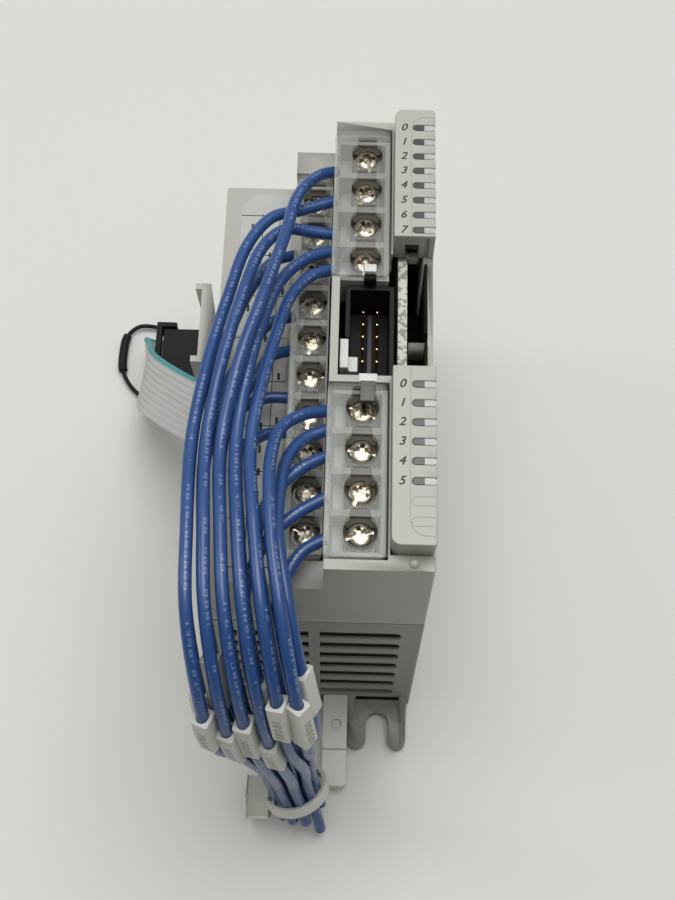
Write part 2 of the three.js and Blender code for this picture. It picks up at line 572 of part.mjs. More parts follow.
// The start of each wire, from its terminal to where it joins the bundle at a station.
const LEADS = {
  U1: { joins: 0, points: [[2, 37.5, OUT], [-1, 35.5, 79], [-4.8, 28, 83], [-6.8, 17, 86],
    [-10, 3, 88.3], [-13.4, -10, 88.3]] },
  U2: { joins: 0, points: [[2, 30.8, OUT], [-4.6, 27.6, 78.5], [-9.5, 25, 80], [-13.6, 18.5, 81],
    [-16.6, 6, 82.5], [-19.3, -9, 84.3]] },
  U3: { joins: 0, points: [[2, 23.2, OUT], [-2.8, 23, 78.6], [-6.8, 22, 80.6], [-10.8, 16.5, 83],
    [-13.8, 5, 85.2], [-16.7, -10, 86]] },
  U4: { joins: 0, points: [[2, 19.6, OUT], [-2, 17.6, 78.6], [-6.6, 11.6, 81.5], [-9.4, 3, 84.2],
    [-12, -10, 85.5]] },
  U5: { joins: 0, points: [[2, 15.6, OUT], [-2, 13.4, 78.6], [-5.6, 7.6, 80.5], [-7.4, 0, 82.3],
    [-9.4, -11, 84.3]] },
  L1: { joins: 1, points: [[2, -13.5, OUT], [-2, -15, 79], [-6, -19.5, 82.5], [-7.4, -27, 86]] },
  L2: { joins: 1, points: [[2, -17.2, OUT], [-2.2, -19.5, 78.2], [-5, -24.5, 80], [-5.8, -32, 82.3]] },
  L3: { joins: 1, points: [[2, -22.2, OUT], [-2, -24.6, 78], [-6.4, -29.5, 79]] },
  L4: { joins: 3, points: [[2, -30, OUT], [-2.4, -32.5, 77], [-7.4, -37.5, 77.4], [-10.4, -44.5, 78.2],
    [-11, -52, 78.6]] },
  L5: { joins: 3, points: [[2, -37.6, OUT], [-1.8, -39.8, 77], [-4.6, -45.2, 77.4], [-5.8, -52, 78.2]] },
  M1: { joins: 0, points: [[-5.4, 25.3, IN], [-9.5, 22.8, 68.5], [-13.5, 15, 71], [-17, 2, 75],
    [-20.4, -12, 79.5]] },
  M2: { joins: 0, points: [[-5.4, 11.5, IN], [-9, 9.5, 68.5], [-12.5, 3, 72], [-16, -9, 77.5]] },
  M3: { joins: 0, points: [[-5.4, 4.3, IN], [-9.2, 2, 68.5], [-12, -5, 72], [-14.8, -14, 77.5]] },
  M4: { joins: 0, points: [[-5.4, -5.8, IN], [-9.6, -6.3, 67.6], [-14.5, -9.5, 69], [-17.4, -18, 74.5]] },
  M5: { joins: 0, points: [[-5.4, -12.8, IN], [-9.4, -14.4, 69], [-11.8, -19, 74.5]] },
};
const LONG_TAILS = { U5: 5.5, U4: 0.6, U3: 1 };

const stationPoint = (lane, station) => vector(station.middle)
  .add(new THREE.Vector3(lane.across * station.lane, 0, 0))
  .addScaledVector(vector(station.front).normalize(), -lane.row * station.row);

// A wire's place on the ring or core of the gathered bundle, some way past its middle.
const gatheredPoint = (lane, place, past) => {
  const axis = vector(place.axis).normalize();
  const side = new THREE.Vector3(1, 0, 0);
  const front = new THREE.Vector3().crossVectors(side, axis).normalize();
  if (front.y > 0) front.negate();
  const angle = THREE.MathUtils.degToRad(lane.angle);
  const radius = lane.radius * place.spread;
  return vector(place.middle)
    .addScaledVector(axis, past)
    .addScaledVector(front, radius * Math.cos(angle))
    .addScaledVector(side, radius * Math.sin(angle));
};

const wireRoute = (name) => {
  const lane = LANES[name];
  const lead = LEADS[name];
  return [
    ...lead.points.map(vector),
    ...STATIONS.slice(lead.joins).map((station) => stationPoint(lane, station)),
    ...GATHERED.map((place) => gatheredPoint(lane, place, 0)),
    gatheredPoint(lane, GATHERED[2], CUT_END + (LONG_TAILS[name] ?? 0)),
  ];
};

const wireCurves = Object.fromEntries(Object.keys(LANES).map((name) => [name, smooth(wireRoute(name))]));

// Ten of the wires carry a square marker sleeve: its lower end is this far from the wire's cut end.
const MARKER_WIDE = 3;
const MARKER_LONG = 11;
const MARKERS = { U2: 58, U3: 52, U1: 53, U4: 47, U5: 65, L1: 60, L2: 64, M1: 60, M2: 66, M5: 60 };

const makeMarker = (curve, fromEnd) => {
  const length = curve.getLength();
  const at = (distance) => curve.getPointAt(1 - distance / length);
  const part = smooth([at(fromEnd + MARKER_LONG), at(fromEnd + MARKER_LONG / 2), at(fromEnd)]);
  const half = MARKER_WIDE / 2;
  return sweep(part, roundedRect(-half, half, -half, half, 0.5), 3, 1);
};

const makeWire = (name, curve) => {
  const steps = Math.round(curve.getLength() / (2.6 * WIRE_DIAMETER));
  const wire = sweep(curve, regularSection(WIRE_DIAMETER / 2, 8), steps);
  return name in MARKERS ? wire.add(makeMarker(curve, MARKERS[name])) : wire;
};
for (const [name, curve] of Object.entries(wireCurves)) {
  addNode(`wire_${name}`, makeWire(name, curve), "wire");
}

// ---------- cable tie ----------
const makeTie = () => {
  const axis = vector(TIE.axis).normalize();
  const inside = RING + WIRE_DIAMETER / 2 + 0.9;
  const half = 1.25;
  const profile = [[inside, -half], [inside + 1, -half], [inside + 1, half], [inside, half], [inside, -half]];
  const band = new THREE.LatheGeometry(profile.map(([r, z]) => new THREE.Vector2(r, z)), 24);
  const head = new THREE.BoxGeometry(4.2, 4.6, 6.2);
  head.translate(-inside - 2.2, 0, 0.6);
  const turn = new THREE.Quaternion().setFromUnitVectors(new THREE.Vector3(0, 1, 0), axis);
  const shift = vector(TIE.middle);
  const placed = [band, head].map((geometry) => {
    geometry.applyQuaternion(turn);
    geometry.translate(shift.x, shift.y, shift.z);
    return toSolid(geometry);
  });
  return joined(placed);
};
addNode("cable_tie", makeTie(), "tie");

// ---------- ribbon cable, its plug, strain relief and pull loop ----------
const RIBBON_ROUTE = [[-7, 3.4, 33.6], [-8, 3.4, 37], [-11.5, 3.4, 38.9], [-16, 3.4, 39], [-20.6, 3.4, 39],
  [-23.4, 4.4, 37.2], [-28, 8.6, 32.6], [-33.2, 14, 27], [-37.8, 19.8, 20.6], [-40.6, 25.2, 14.4],
  [-41.4, 30.2, 9.4], [-41.5, 33, 6.4], [-40.6, 34.1, 4.5], [-38.9, 34.1, 4]];
const RIBBON_ACROSS = [[0, 1, 0], [0, 1, 0], [0, 1, 0], [0, 1, 0], [0, 1, 0], [0.1, 1, 0.1], [0.3, 0.92, 0.24],
  [0.3, 0.92, 0.24], [0.3, 0.9, 0.3], [0.2, 0.94, 0.3], [0.1, 0.97, 0.25], [0, 1, 0.1], [0, 1, 0], [0, 1, 0]];

// A flat strip that follows the route, with its width turned by the given directions.
const makeRibbon = () => {
  const line = smooth(RIBBON_ROUTE.map(vector));
  const steps = 40;
  const widths = smooth(RIBBON_ACROSS.map((across) => vector(across).normalize()));
  const positions = [];
  for (let step = 0; step <= steps; step += 1) {
    const t = step / steps;
    const middle = line.getPoint(t);
    const along = line.getTangent(t);
    const up = new THREE.Vector3().crossVectors(along, widths.getPoint(t)).normalize();
    const across = new THREE.Vector3().crossVectors(up, along).normalize();
    for (const [a, b] of [[-1, -1], [1, -1], [1, 1], [-1, 1]]) {
      const corner = middle.clone()
        .addScaledVector(across, (a * RIBBON_WIDTH) / 2)
        .addScaledVector(up, (b * RIBBON_THICK) / 2);
      positions.push(corner.x, corner.y, corner.z);
    }
  }
  const faces = [];
  const quad = (a, b, c, d) => faces.push(a, b, c, a, c, d);
  for (let step = 0; step < steps; step += 1) {
    for (let side = 0; side < 4; side += 1) {
      const next = (side + 1) % 4;
      quad(step * 4 + side, step * 4 + next, (step + 1) * 4 + next, (step + 1) * 4 + side);
    }
  }
  quad(3, 2, 1, 0);
  quad(steps * 4, steps * 4 + 1, steps * 4 + 2, steps * 4 + 3);
  const geometry = new THREE.BufferGeometry();
  geometry.setAttribute("position", new THREE.Float32BufferAttribute(positions, 3));
  geometry.setIndex(faces);
  return toSolid(geometry);
};
addNode("ribbon_cable", makeRibbon(), "ribbon");

const PLUG = { x0: -38.5, x1: -29.4, y0: 25.8, y1: 42.4, z0: 0.8, z1: 7 };
const makePlug = () => {
  const body = block(PLUG.x0, PLUG.x1, PLUG.y0, PLUG.y1, PLUG.z0, PLUG.z1);
  const holes = series(10, (index) => {
    const y = 34.1 + (Math.floor(index / 2) - 2) * 2.54;
    const z = index % 2 ? 5.15 : 2.65;
    return block(PLUG.x1 - 6, PLUG.x1 + 1, y - 0.45, y + 0.45, z - 0.45, z + 0.45);
  });
  return cutBy(body, holes);
};
addNode("ribbon_connector", makePlug(), "black");

const makeStrainRelief = () => {
  const bar = block(PLUG.x0 - 1.7, PLUG.x0 - 0.4, PLUG.y0 - 0.6, PLUG.y1 + 0.6, 5.3, 7.6);
  const clip = (y0, y1) => block(PLUG.x0 - 1.7, PLUG.x0 + 3, y0, y1, 2.4, 7.6);
  return joined([bar, clip(PLUG.y1 + 0.3, PLUG.y1 + 1.5), clip(PLUG.y0 - 1.5, PLUG.y0 - 0.3)]);
};
addNode("ribbon_strain_relief", makeStrainRelief(), "black");

const LOOP_ROUTE = [[-36.5, 44.7, 1.4], [-40.5, 45.8, 1.3], [-45.2, 46, 1.3], [-47.9, 43.4, 1.3],
  [-48.6, 38.8, 1.3], [-48.2, 33.6, 1.3], [-46.2, 29.8, 1.3], [-43.4, 27, 1.3], [-41.3, 25.2, 1.3]];
const makeLoop = () => sweep(smooth(LOOP_ROUTE.map(vector)), regularSection(0.6, 8), 26);
addNode("pull_loop", makeLoop(), "black");

export default object;
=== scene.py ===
# %% [markdown]
# # A slim input and output module, wired and tied
#
# The object is a small expansion module of a programmable controller. It lies on its back on a
# table, with fifteen blue wires coming out of its terminals, gathered by a cable tie at its lower
# end, and a grey ribbon cable curling out of its left side. The engineering model is loaded first
# as a fixed frame. Everything after that is built around it, in metres.

# %% Load the frame
import json
import math

import bmesh
import bpy
from mathutils import Matrix, Vector

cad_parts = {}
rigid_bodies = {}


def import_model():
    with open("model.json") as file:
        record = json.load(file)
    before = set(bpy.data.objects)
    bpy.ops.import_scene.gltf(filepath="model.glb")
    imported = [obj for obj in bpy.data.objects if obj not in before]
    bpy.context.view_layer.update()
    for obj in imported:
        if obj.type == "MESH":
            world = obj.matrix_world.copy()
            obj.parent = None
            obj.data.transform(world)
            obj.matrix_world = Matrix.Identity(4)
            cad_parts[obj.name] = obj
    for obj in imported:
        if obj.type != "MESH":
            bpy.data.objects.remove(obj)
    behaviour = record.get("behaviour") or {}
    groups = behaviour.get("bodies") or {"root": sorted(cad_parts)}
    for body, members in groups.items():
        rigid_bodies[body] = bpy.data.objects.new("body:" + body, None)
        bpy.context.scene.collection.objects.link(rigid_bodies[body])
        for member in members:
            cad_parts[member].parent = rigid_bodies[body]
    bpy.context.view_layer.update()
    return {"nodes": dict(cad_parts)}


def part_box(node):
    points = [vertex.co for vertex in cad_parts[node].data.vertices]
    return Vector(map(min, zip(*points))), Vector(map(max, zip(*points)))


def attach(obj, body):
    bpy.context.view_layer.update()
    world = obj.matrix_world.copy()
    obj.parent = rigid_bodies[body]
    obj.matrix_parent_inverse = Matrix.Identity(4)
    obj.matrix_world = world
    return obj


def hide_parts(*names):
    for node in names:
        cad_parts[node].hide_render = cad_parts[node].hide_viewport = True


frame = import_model()
MM = 0.001

# %% [markdown]
# Every size below is written in millimetres from the casing's own centre lines, which is how such
# a moulding is dimensioned. One function turns such a place into the frame's metres, because the
# frame's origin sits under the middle of the whole module with its latch pulled out.

# %% From casing millimetres to frame metres
high_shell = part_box("base_shell")[1]
CASING_TOP_END = 55.3  # the upper mounting tab's tip, from the casing's centre
CASING_RIGHT = 20.2
SHIFT = Vector((high_shell.x - CASING_RIGHT * MM, high_shell.y - CASING_TOP_END * MM, 0))


def at(x, y, z):
    """A place in casing millimetres, as a point of the frame in metres."""
    return Vector((x, y, z)) * MM + SHIFT


print("casing centre lies at", tuple(round(v * 1000, 2) for v in SHIFT))

# %% [markdown]
# The camera comes before anything else. It looks down on the module from a little below its lower
# end, tilted by about twenty-five degrees from straight down, through a 56 mm lens.

# %% Camera
camera_data = bpy.data.cameras.new("camera")
camera_data.lens = 56.207
camera_data.clip_start = 0.01
camera = bpy.data.objects.new("camera", camera_data)
camera.location = (0.0057416, -0.1194329, 0.2979179)
camera.rotation_euler = [math.radians(angle) for angle in (24.975, -0.484, 1.424)]
bpy.context.scene.collection.objects.link(camera)
bpy.context.scene.camera = camera
print("camera at", tuple(round(v, 4) for v in camera.location))

# %% [markdown]
# A wire, a ribbon and a loop are all swept along smooth lines. The lines go through a few given
# points, with a centripetal Catmull-Rom curve between them, which never overshoots a bend.
# The curve is then walked in even steps, because an even spacing gives even faces and lets printed
# marks keep one size along the whole wire.

# %% Smooth lines
def spline_point(four, weight):
    """A point of a centripetal Catmull-Rom span between the second and third of four points."""
    a, b, c, d = four
    gap0 = max((b - a).length, 1e-9) ** 0.5
    gap1 = max((c - b).length, 1e-9) ** 0.5
    gap2 = max((d - c).length, 1e-9) ** 0.5
    leave = ((b - a) / gap0 - (c - a) / (gap0 + gap1) + (c - b) / gap1) * gap1
    arrive = ((c - b) / gap1 - (d - b) / (gap1 + gap2) + (d - c) / gap2) * gap1
    cubic = 2 * b - 2 * c + leave + arrive
    square = -3 * b + 3 * c - 2 * leave - arrive
    return b + leave * weight + square * weight**2 + cubic * weight**3


def smooth_line(points, per_span=24):
    """A dense smooth line through the given points."""
    points = [Vector(p) for p in points]
    ends = [2 * points[0] - points[1], *points, 2 * points[-1] - points[-2]]
    line = []
    for index in range(len(points) - 1):
        four = ends[index : index + 4]
        line += [spline_point(four, step / per_span) for step in range(per_span)]
    return [*line, points[-1]]


def walked(line, step):
    """The same line in even steps of about the given length."""
    lengths = [0.0]
    for a, b in zip(line, line[1:]):
        lengths.append(lengths[-1] + (b - a).length)
    count = max(2, round(lengths[-1] / step))
    result, index = [], 0
    for number in range(count + 1):
        goal = lengths[-1] * number / count
        while index < len(line) - 2 and lengths[index + 1] < goal:
            index += 1
        share = (goal - lengths[index]) / max(lengths[index + 1] - lengths[index], 1e-9)
        result.append(line[index].lerp(line[index + 1], min(max(share, 0), 1)))
    return result


def line_length(line):
    return sum((b - a).length for a, b in zip(line, line[1:]))


def directions(line):
    """The way the line runs at each of its points."""
    before = [line[0], *line[:-1]]
    after = [*line[1:], line[-1]]
    return [(b - a).normalized() for a, b in zip(before, after)]


def carried_sides(line, first):
    """A side direction for each point, carried along the line without twisting."""
    sides, side = [], Vector(first)
    for along in directions(line):
        side = (side - along * side.dot(along)).normalized()
        sides.append(side)
    return sides


# %% [markdown]
# A swept piece is one ring of points for each step, with quads between rings and a flat cap at each
# end. Its own UV map holds metres along the line and the share of the way round, so a printed mark
# or a coloured edge can follow the piece.

# %% Swept meshes
def link_piece(name, mesh):
    piece = bpy.data.objects.new(name, mesh)
    bpy.context.scene.collection.objects.link(piece)
    return piece


def from_bmesh(name, bm, material=None, sharp=30):
    """A finished object from a bmesh, smooth except at edges sharper than the given angle."""
    mesh = bpy.data.meshes.new(name)
    bm.to_mesh(mesh)
    bm.free()
    mesh.shade_smooth()
    mesh.set_sharp_from_angle(angle=math.radians(sharp))
    if material:
        mesh.materials.append(material)
    return link_piece(name, mesh)


def swept(name, line, rings, material=None, sharp=50):
    """A closed sweep: one ring of points per point of the line, all with the same count."""
    bm = bmesh.new()
    uv = bm.loops.layers.uv.new("UVMap")
    made = [[bm.verts.new(p) for p in ring] for ring in rings]
    sides = len(made[0])
    reach = [0.0]
    for a, b in zip(line, line[1:]):
        reach.append(reach[-1] + (b - a).length)
    for step in range(len(made) - 1):
        for side in range(sides):
            after = (side + 1) % sides
            face = bm.faces.new(
                (made[step][side], made[step][after], made[step + 1][after], made[step + 1][side])
            )
            corners = ((step, side), (step, side + 1), (step + 1, side + 1), (step + 1, side))
            for loop, (row, column) in zip(face.loops, corners):
                loop[uv].uv = (reach[row], column / sides)
    bm.faces.new(reversed(made[0]))
    bm.faces.new(made[-1])
    bmesh.ops.recalc_face_normals(bm, faces=bm.faces)
    return from_bmesh(name, bm, material, sharp)


def round_rings(line, radius, first, count=14):
    """Circles across the line. The ring starts opposite the first side direction."""
    rings = []
    for point, along, side in zip(line, directions(line), carried_sides(line, first)):
        other = along.cross(side)
        turns = [2 * math.pi * index / count + math.pi for index in range(count)]
        rings.append([point + (side * math.cos(a) + other * math.sin(a)) * radius for a in turns])
    return rings


# %% [markdown]
# The fifteen field wires run in lanes. Each has a place across the bundle and a row down into it,
# and the bundle itself is a short list of stations: its middle, the way its front faces, and the
# spacing of lanes and rows there. Near the tie the lanes close up into a ring of ten wires round a
# core of five. Every wire then only needs its own few points from its terminal to the bundle.

# %% Routes of the wires
WIRE_DIAMETER = 2.2
RING, CORE = 4.15, 2.05
LANES = {  # across, row, angle round the tie, radius there
    "U1": (-0.5, 0, -18, RING), "U2": (-2.5, 0, -90, RING), "U3": (-1.5, 0, -54, RING),
    "U4": (0.5, 0, 18, RING), "U5": (1.5, 0, 54, RING), "L1": (2.5, 0, 90, RING),
    "L2": (2.9, 1, 126, RING), "L3": (1.6, 1, 108, CORE), "L4": (0, 2, 180, CORE),
    "L5": (1.7, 2, 162, RING), "M1": (-2.6, 1, -126, RING), "M2": (-1.6, 1, -108, CORE),
    "M3": (-0.55, 1, -36, CORE), "M4": (-1.7, 2, -162, RING), "M5": (0.55, 1, 36, CORE),
}
STATIONS = [  # middle, front, lane spacing, row spacing
    ((-14.6, -24, 85.5), (0, 0, 1), 2.5, 3),
    ((-13.5, -40, 88), (0, 0, 1), 2.7, 2.8),
    ((-12, -54, 87), (0, -0.4, 0.92), 3, 2.9),
    ((-9.8, -65, 77), (0, -0.85, 0.53), 3.12, 3.1),
    ((-7.8, -69.5, 62), (0, -1, 0.1), 3.12, 3.1),
]
GATHERED = [  # middle, axis, spread of the ring
    ((-4.8, -66.1, 42), (0.12, -0.05, -1), 1.14),
    ((-4.2, -65, 22), (0.1, -0.15, -1), 1.03),
    ((-3, -66.4, 12), (0.16, -0.36, -0.92), 1),
]
TIE_MIDDLE, TIE_AXIS = GATHERED[2][0], (0.28, -0.5, -0.82)
CUT_END = 5
LONG_TAILS = {"U5": 5.5, "U4": 0.6, "U3": 1}
OUT, IN = 77.4, 66.8
LEADS = {  # the station it joins at, and its points before that
    "U1": (0, [(2, 37.5, OUT), (-1, 35.5, 79), (-4.8, 28, 83), (-6.8, 17, 86), (-10, 3, 88.3),
               (-13.4, -10, 88.3)]),
    "U2": (0, [(2, 30.8, OUT), (-4.6, 27.6, 78.5), (-9.5, 25, 80), (-13.6, 18.5, 81),
               (-16.6, 6, 82.5), (-19.3, -9, 84.3)]),
    "U3": (0, [(2, 23.2, OUT), (-2.8, 23, 78.6), (-6.8, 22, 80.6), (-10.8, 16.5, 83),
               (-13.8, 5, 85.2), (-16.7, -10, 86)]),
    "U4": (0, [(2, 19.6, OUT), (-2, 17.6, 78.6), (-6.6, 11.6, 81.5), (-9.4, 3, 84.2),
               (-12, -10, 85.5)]),
    "U5": (0, [(2, 15.6, OUT), (-2, 13.4, 78.6), (-5.6, 7.6, 80.5), (-7.4, 0, 82.3),
               (-9.4, -11, 84.3)]),
    "L1": (1, [(2, -13.5, OUT), (-2, -15, 79), (-6, -19.5, 82.5), (-7.4, -27, 86)]),
    "L2": (1, [(2, -17.2, OUT), (-2.2, -19.5, 78.2), (-5, -24.5, 80), (-5.8, -32, 82.3)]),
    "L3": (1, [(2, -22.2, OUT), (-2, -24.6, 78), (-6.4, -29.5, 79)]),
    "L4": (3, [(2, -30, OUT), (-2.4, -32.5, 77), (-7.4, -37.5, 77.4), (-10.4, -44.5, 78.2),
               (-11, -52, 78.6)]),
    "L5": (3, [(2, -37.6, OUT), (-1.8, -39.8, 77), (-4.6, -45.2, 77.4), (-5.8, -52, 78.2)]),
    "M1": (0, [(-5.4, 25.3, IN), (-9.5, 22.8, 68.5), (-13.5, 15, 71), (-17, 2, 75),
               (-20.4, -12, 79.5)]),
    "M2": (0, [(-5.4, 11.5, IN), (-9, 9.5, 68.5), (-12.5, 3, 72), (-16, -9, 77.5)]),
    "M3": (0, [(-5.4, 4.3, IN), (-9.2, 2, 68.5), (-12, -5, 72), (-14.8, -14, 77.5)]),
    "M4": (0, [(-5.4, -5.8, IN), (-9.6, -6.3, 67.6), (-14.5, -9.5, 69), (-17.4, -18, 74.5)]),
    "M5": (0, [(-5.4, -12.8, IN), (-9.4, -14.4, 69), (-11.8, -19, 74.5)]),
}


def bundle_place(lane, station):
    middle, front, across, down = station
    return Vector(middle) + Vector((lane[0] * across, 0, 0)) - Vector(front).normalized() * lane[1] * down


def gathered_place(lane, place, past=0):
    """A wire's place on the ring or core of the gathered bundle, some way past its middle."""
    middle, axis, spread = place
    axis = Vector(axis).normalized()
    side = Vector((1, 0, 0))
    front = side.cross(axis).normalized()
    if front.y > 0:
        front.negate()
    angle = math.radians(lane[2])
    out = front * math.cos(angle) + side * math.sin(angle)
    return Vector(middle) + axis * past + out * lane[3] * spread


def wire_route(name):
    lane, (joins, lead) = LANES[name], LEADS[name]
    points = [Vector(p) for p in lead] + [bundle_place(lane, s) for s in STATIONS[joins:]]
    points += [gathered_place(lane, place) for place in GATHERED]
    points.append(gathered_place(lane, GATHERED[2], CUT_END + LONG_TAILS.get(name, 0)))
    return [at(*p) for p in points]


WIRE_STEP = 1.3 * MM
wire_lines = {name: walked(smooth_line(wire_route(name)), WIRE_STEP) for name in LANES}
print("wires:", {name: round(line_length(line) * 1000) for name, line in wire_lines.items()})

# %% [markdown]
# Each route becomes a round sweep. The side where a sweep starts decides where the printed line lies,
# so the wires that show their print to the viewer are given a side of their own.

# %% Sweep the wires
PRINT_SIDE = {"L1": (1, 0.2, 0.9), "L2": (0.3, -1, 0.6), "U3": (-1, 0, 0.8), "U5": (1, 0, 0.5)}


def wire_piece(name):
    line = wire_lines[name]
    rings = round_rings(line, WIRE_DIAMETER / 2 * MM, PRINT_SIDE.get(name, (0.2, 0.1, 1)))
    return swept(f"field_wire_{name}", line, rings)


wires = {name: wire_piece(name) for name in LANES}
print("swept", len(wires), "wires of", len(wires["U1"].data.polygons), "faces at most")

# %% [markdown]
# Ten wires carry a white marker sleeve. A real one is a folded strip of vinyl pushed over the wire:
# a square tube with thin walls, round inside, whose upper mouth is scooped out at the front. It is
# built as an outer and an inner ring at each step, joined at both ends, so the wire shows inside.

# %% Marker sleeves
MARKERS = {  # distance of the lower end from the wire's cut end, way the front faces
    "U2": (58, (-0.5, -1, 0.2)), "U3": (52, (-0.4, -1, 0.1)), "U1": (53, (-0.25, -1, 0)),
    "U4": (47, (-0.25, -1, 0)), "U5": (65, (-0.25, -1, 0)), "L1": (60, (0.8, -0.6, 0.2)),
    "L2": (64, (-0.5, -1, 0.2)), "M1": (60, (-0.6, -0.8, 0.1)), "M2": (66, (-0.2, -1, 0)),
    "M5": (60, (0, -1, 0)),
}
MARKER_LONG = 11
MARKER_HALF = 1.6
MARKER_BORE = 1.18
MARKER_SCOOP = 0.9


def square_ring(middle, side, other, half, corner, count=5):
    """A square with round corners, starting at the middle of its back."""
    ring = []
    for turn in (225, 315, 45, 135):
        for step in range(count):
            a = math.radians(turn - 45 + 90 * step / (count - 1))
            cx = math.copysign(half - corner, math.cos(math.radians(turn)))
            cy = math.copysign(half - corner, math.sin(math.radians(turn)))
            x, y = cx + corner * math.cos(a), cy + corner * math.sin(a)
            ring.append(middle + (side * x + other * y) * MM)
    return ring


def part_of(line, from_end, length, step):
    """The stretch of a line that lies between two distances from its end."""
    back = list(reversed(line))
    reach, chosen = 0.0, []
    for a, b in zip(back, back[1:]):
        if from_end * MM <= reach <= (from_end + length) * MM:
            chosen.append(a)
        reach += (b - a).length
    return walked(list(reversed(chosen)), step * MM)


def marker_piece(name, from_end, front):
    line = part_of(wire_lines[name], from_end, MARKER_LONG, 1.0)
    fronts = carried_sides(line, front)
    outer, inner = [], []
    for number, (middle, along, face) in enumerate(zip(line, directions(line), fronts)):
        side = face.cross(along)
        ring = square_ring(middle, side, -face, MARKER_HALF, 0.4)
        bore = square_ring(middle, side, -face, MARKER_BORE, MARKER_BORE * 0.98)
        if number == 0:
            for group in (ring, bore):
                depths = [max(0.0, (point - middle).dot(face) / (MARKER_HALF * MM)) for point in group]
                group[:] = [p + along * (MARKER_SCOOP * d) * MM for p, d in zip(group, depths)]
        outer.append(ring)
        inner.append(bore)
    bm = bmesh.new()
    uv = bm.loops.layers.uv.new("UVMap")
    outer, inner = ([[bm.verts.new(p) for p in ring] for ring in rows] for rows in (outer, inner))
    count, steps = len(outer[0]), len(outer) - 1
    for rows, printed in ((outer, 1), (inner, 0)):
        for step in range(steps):
            for side in range(count):
                corners = ((step, side), (step, side + 1), (step + 1, side + 1), (step + 1, side))
                face = bm.faces.new([rows[a][b % count] for a, b in corners])
                for loop, (a, b) in zip(face.loops, corners):
                    loop[uv].uv = (a / steps * printed, b / count * printed)
    for row_number in (0, -1):
        edge, hole = outer[row_number], inner[row_number]
        for side in range(count):
            after = (side + 1) % count
            bm.faces.new((edge[side], edge[after], hole[after], hole[side]))
    bmesh.ops.recalc_face_normals(bm, faces=bm.faces)
    return from_bmesh(f"marker_sleeve_{name}", bm, sharp=35)


markers = {name: marker_piece(name, *facts) for name, facts in MARKERS.items()}
print("marker sleeves:", sorted(markers))

# %% [markdown]
# The cable tie is a toothed strap bent round the bundle and pulled through a square head on the
# left. The strap is a swept flat section. The head is a block with round edges, which stands a
# little turned from the strap, and the stub of the cut tail shows beside it.

# %% Cable tie
TIE_INSIDE = RING + WIRE_DIAMETER / 2 + 0.4
TIE_THICK = 1
TIE_WIDE = 2.4
TIE_STEPS = 72
TIE_EDGE_SHARE = 1.12  # the section's own width, which the strap's width is divided by


def tie_frame():
    """The tie's axis, the way its front faces, and its right-hand side."""
    axis = Vector(TIE_AXIS).normalized()
    right = (Vector((1, 0, 0)) - axis * axis.x).normalized()
    front = right.cross(axis).normalized()
    return axis, (front if front.y < 0 else -front), right


def tie_band():
    axis, front, right = tie_frame()
    middle = Vector(TIE_MIDDLE)
    bm = bmesh.new()
    profile = [(0, -0.5), (0.18, -0.56), (0.82, -0.56), (1, -0.46), (1, 0.46), (0.82, 0.56), (0.18, 0.56),
               (0, 0.5)]
    rings = []
    for step in range(TIE_STEPS):
        a = 2 * math.pi * step / TIE_STEPS
        out = front * math.cos(a) + right * math.sin(a)
        rings.append([
            bm.verts.new(at(*(middle + out * (TIE_INSIDE + TIE_THICK * r)
                              + axis * (TIE_WIDE * w / TIE_EDGE_SHARE))))
            for r, w in profile
        ])
    for step, ring in enumerate(rings):
        following = rings[(step + 1) % TIE_STEPS]
        for side in range(len(profile)):
            after = (side + 1) % len(profile)
            bm.faces.new((ring[side], ring[after], following[after], following[side]))
    bmesh.ops.recalc_face_normals(bm, faces=bm.faces)
    return bm


def add_box(bm, low, high, place=Matrix.Identity(4)):
    """A box between two corners in millimetres, put in place by a matrix in millimetres."""
    middle = [(a + b) / 2 for a, b in zip(low, high)]
    size = [b - a for a, b in zip(low, high)]
    made = bmesh.ops.create_cube(bm, size=1)["verts"]
    for vert in made:
        vert.co = place @ Vector(m + c * s for m, c, s in zip(middle, vert.co, size))
        vert.co = at(*vert.co)
    return made


def bevel_edges(bm, verts, width, segments=2):
    edges = {edge for vert in verts for edge in vert.link_edges}
    bmesh.ops.bevel(bm, geom=list(edges), offset=width * MM, segments=segments, affect="EDGES", profile=0.5)


HEAD_AXIS = Vector((0, -0.5, -0.86)).normalized()
right = tie_frame()[2]
head_turn = Matrix(((1, 0, 0), -HEAD_AXIS.cross((-1, 0, 0)), -HEAD_AXIS)).transposed().to_4x4()
head_place = Matrix.Translation(Vector(TIE_MIDDLE) - right * TIE_INSIDE) @ head_turn
tie_mesh = tie_band()
head = add_box(tie_mesh, (-4.5, -2.2, -3.9), (-0.1, 2.4, 2.6), head_place)
bevel_edges(tie_mesh, head, 0.5, 3)
tail = add_box(tie_mesh, (-1.9, -2.9, -1.1), (-0.9, -2.1, 1.1), head_place)
bevel_edges(tie_mesh, tail, 0.15)
cable_tie = from_bmesh("strap_tie", tie_mesh)
print("tie: strap and head,", len(cable_tie.data.polygons), "faces")

# %% [markdown]
# The ribbon cable is one strip of ten cores side by side. Its section is drawn once, as a row of
# shallow round ridges on both faces, and carried along the route. A ribbon can bend only across its
# flat, so each point of the route also says which way its width lies.

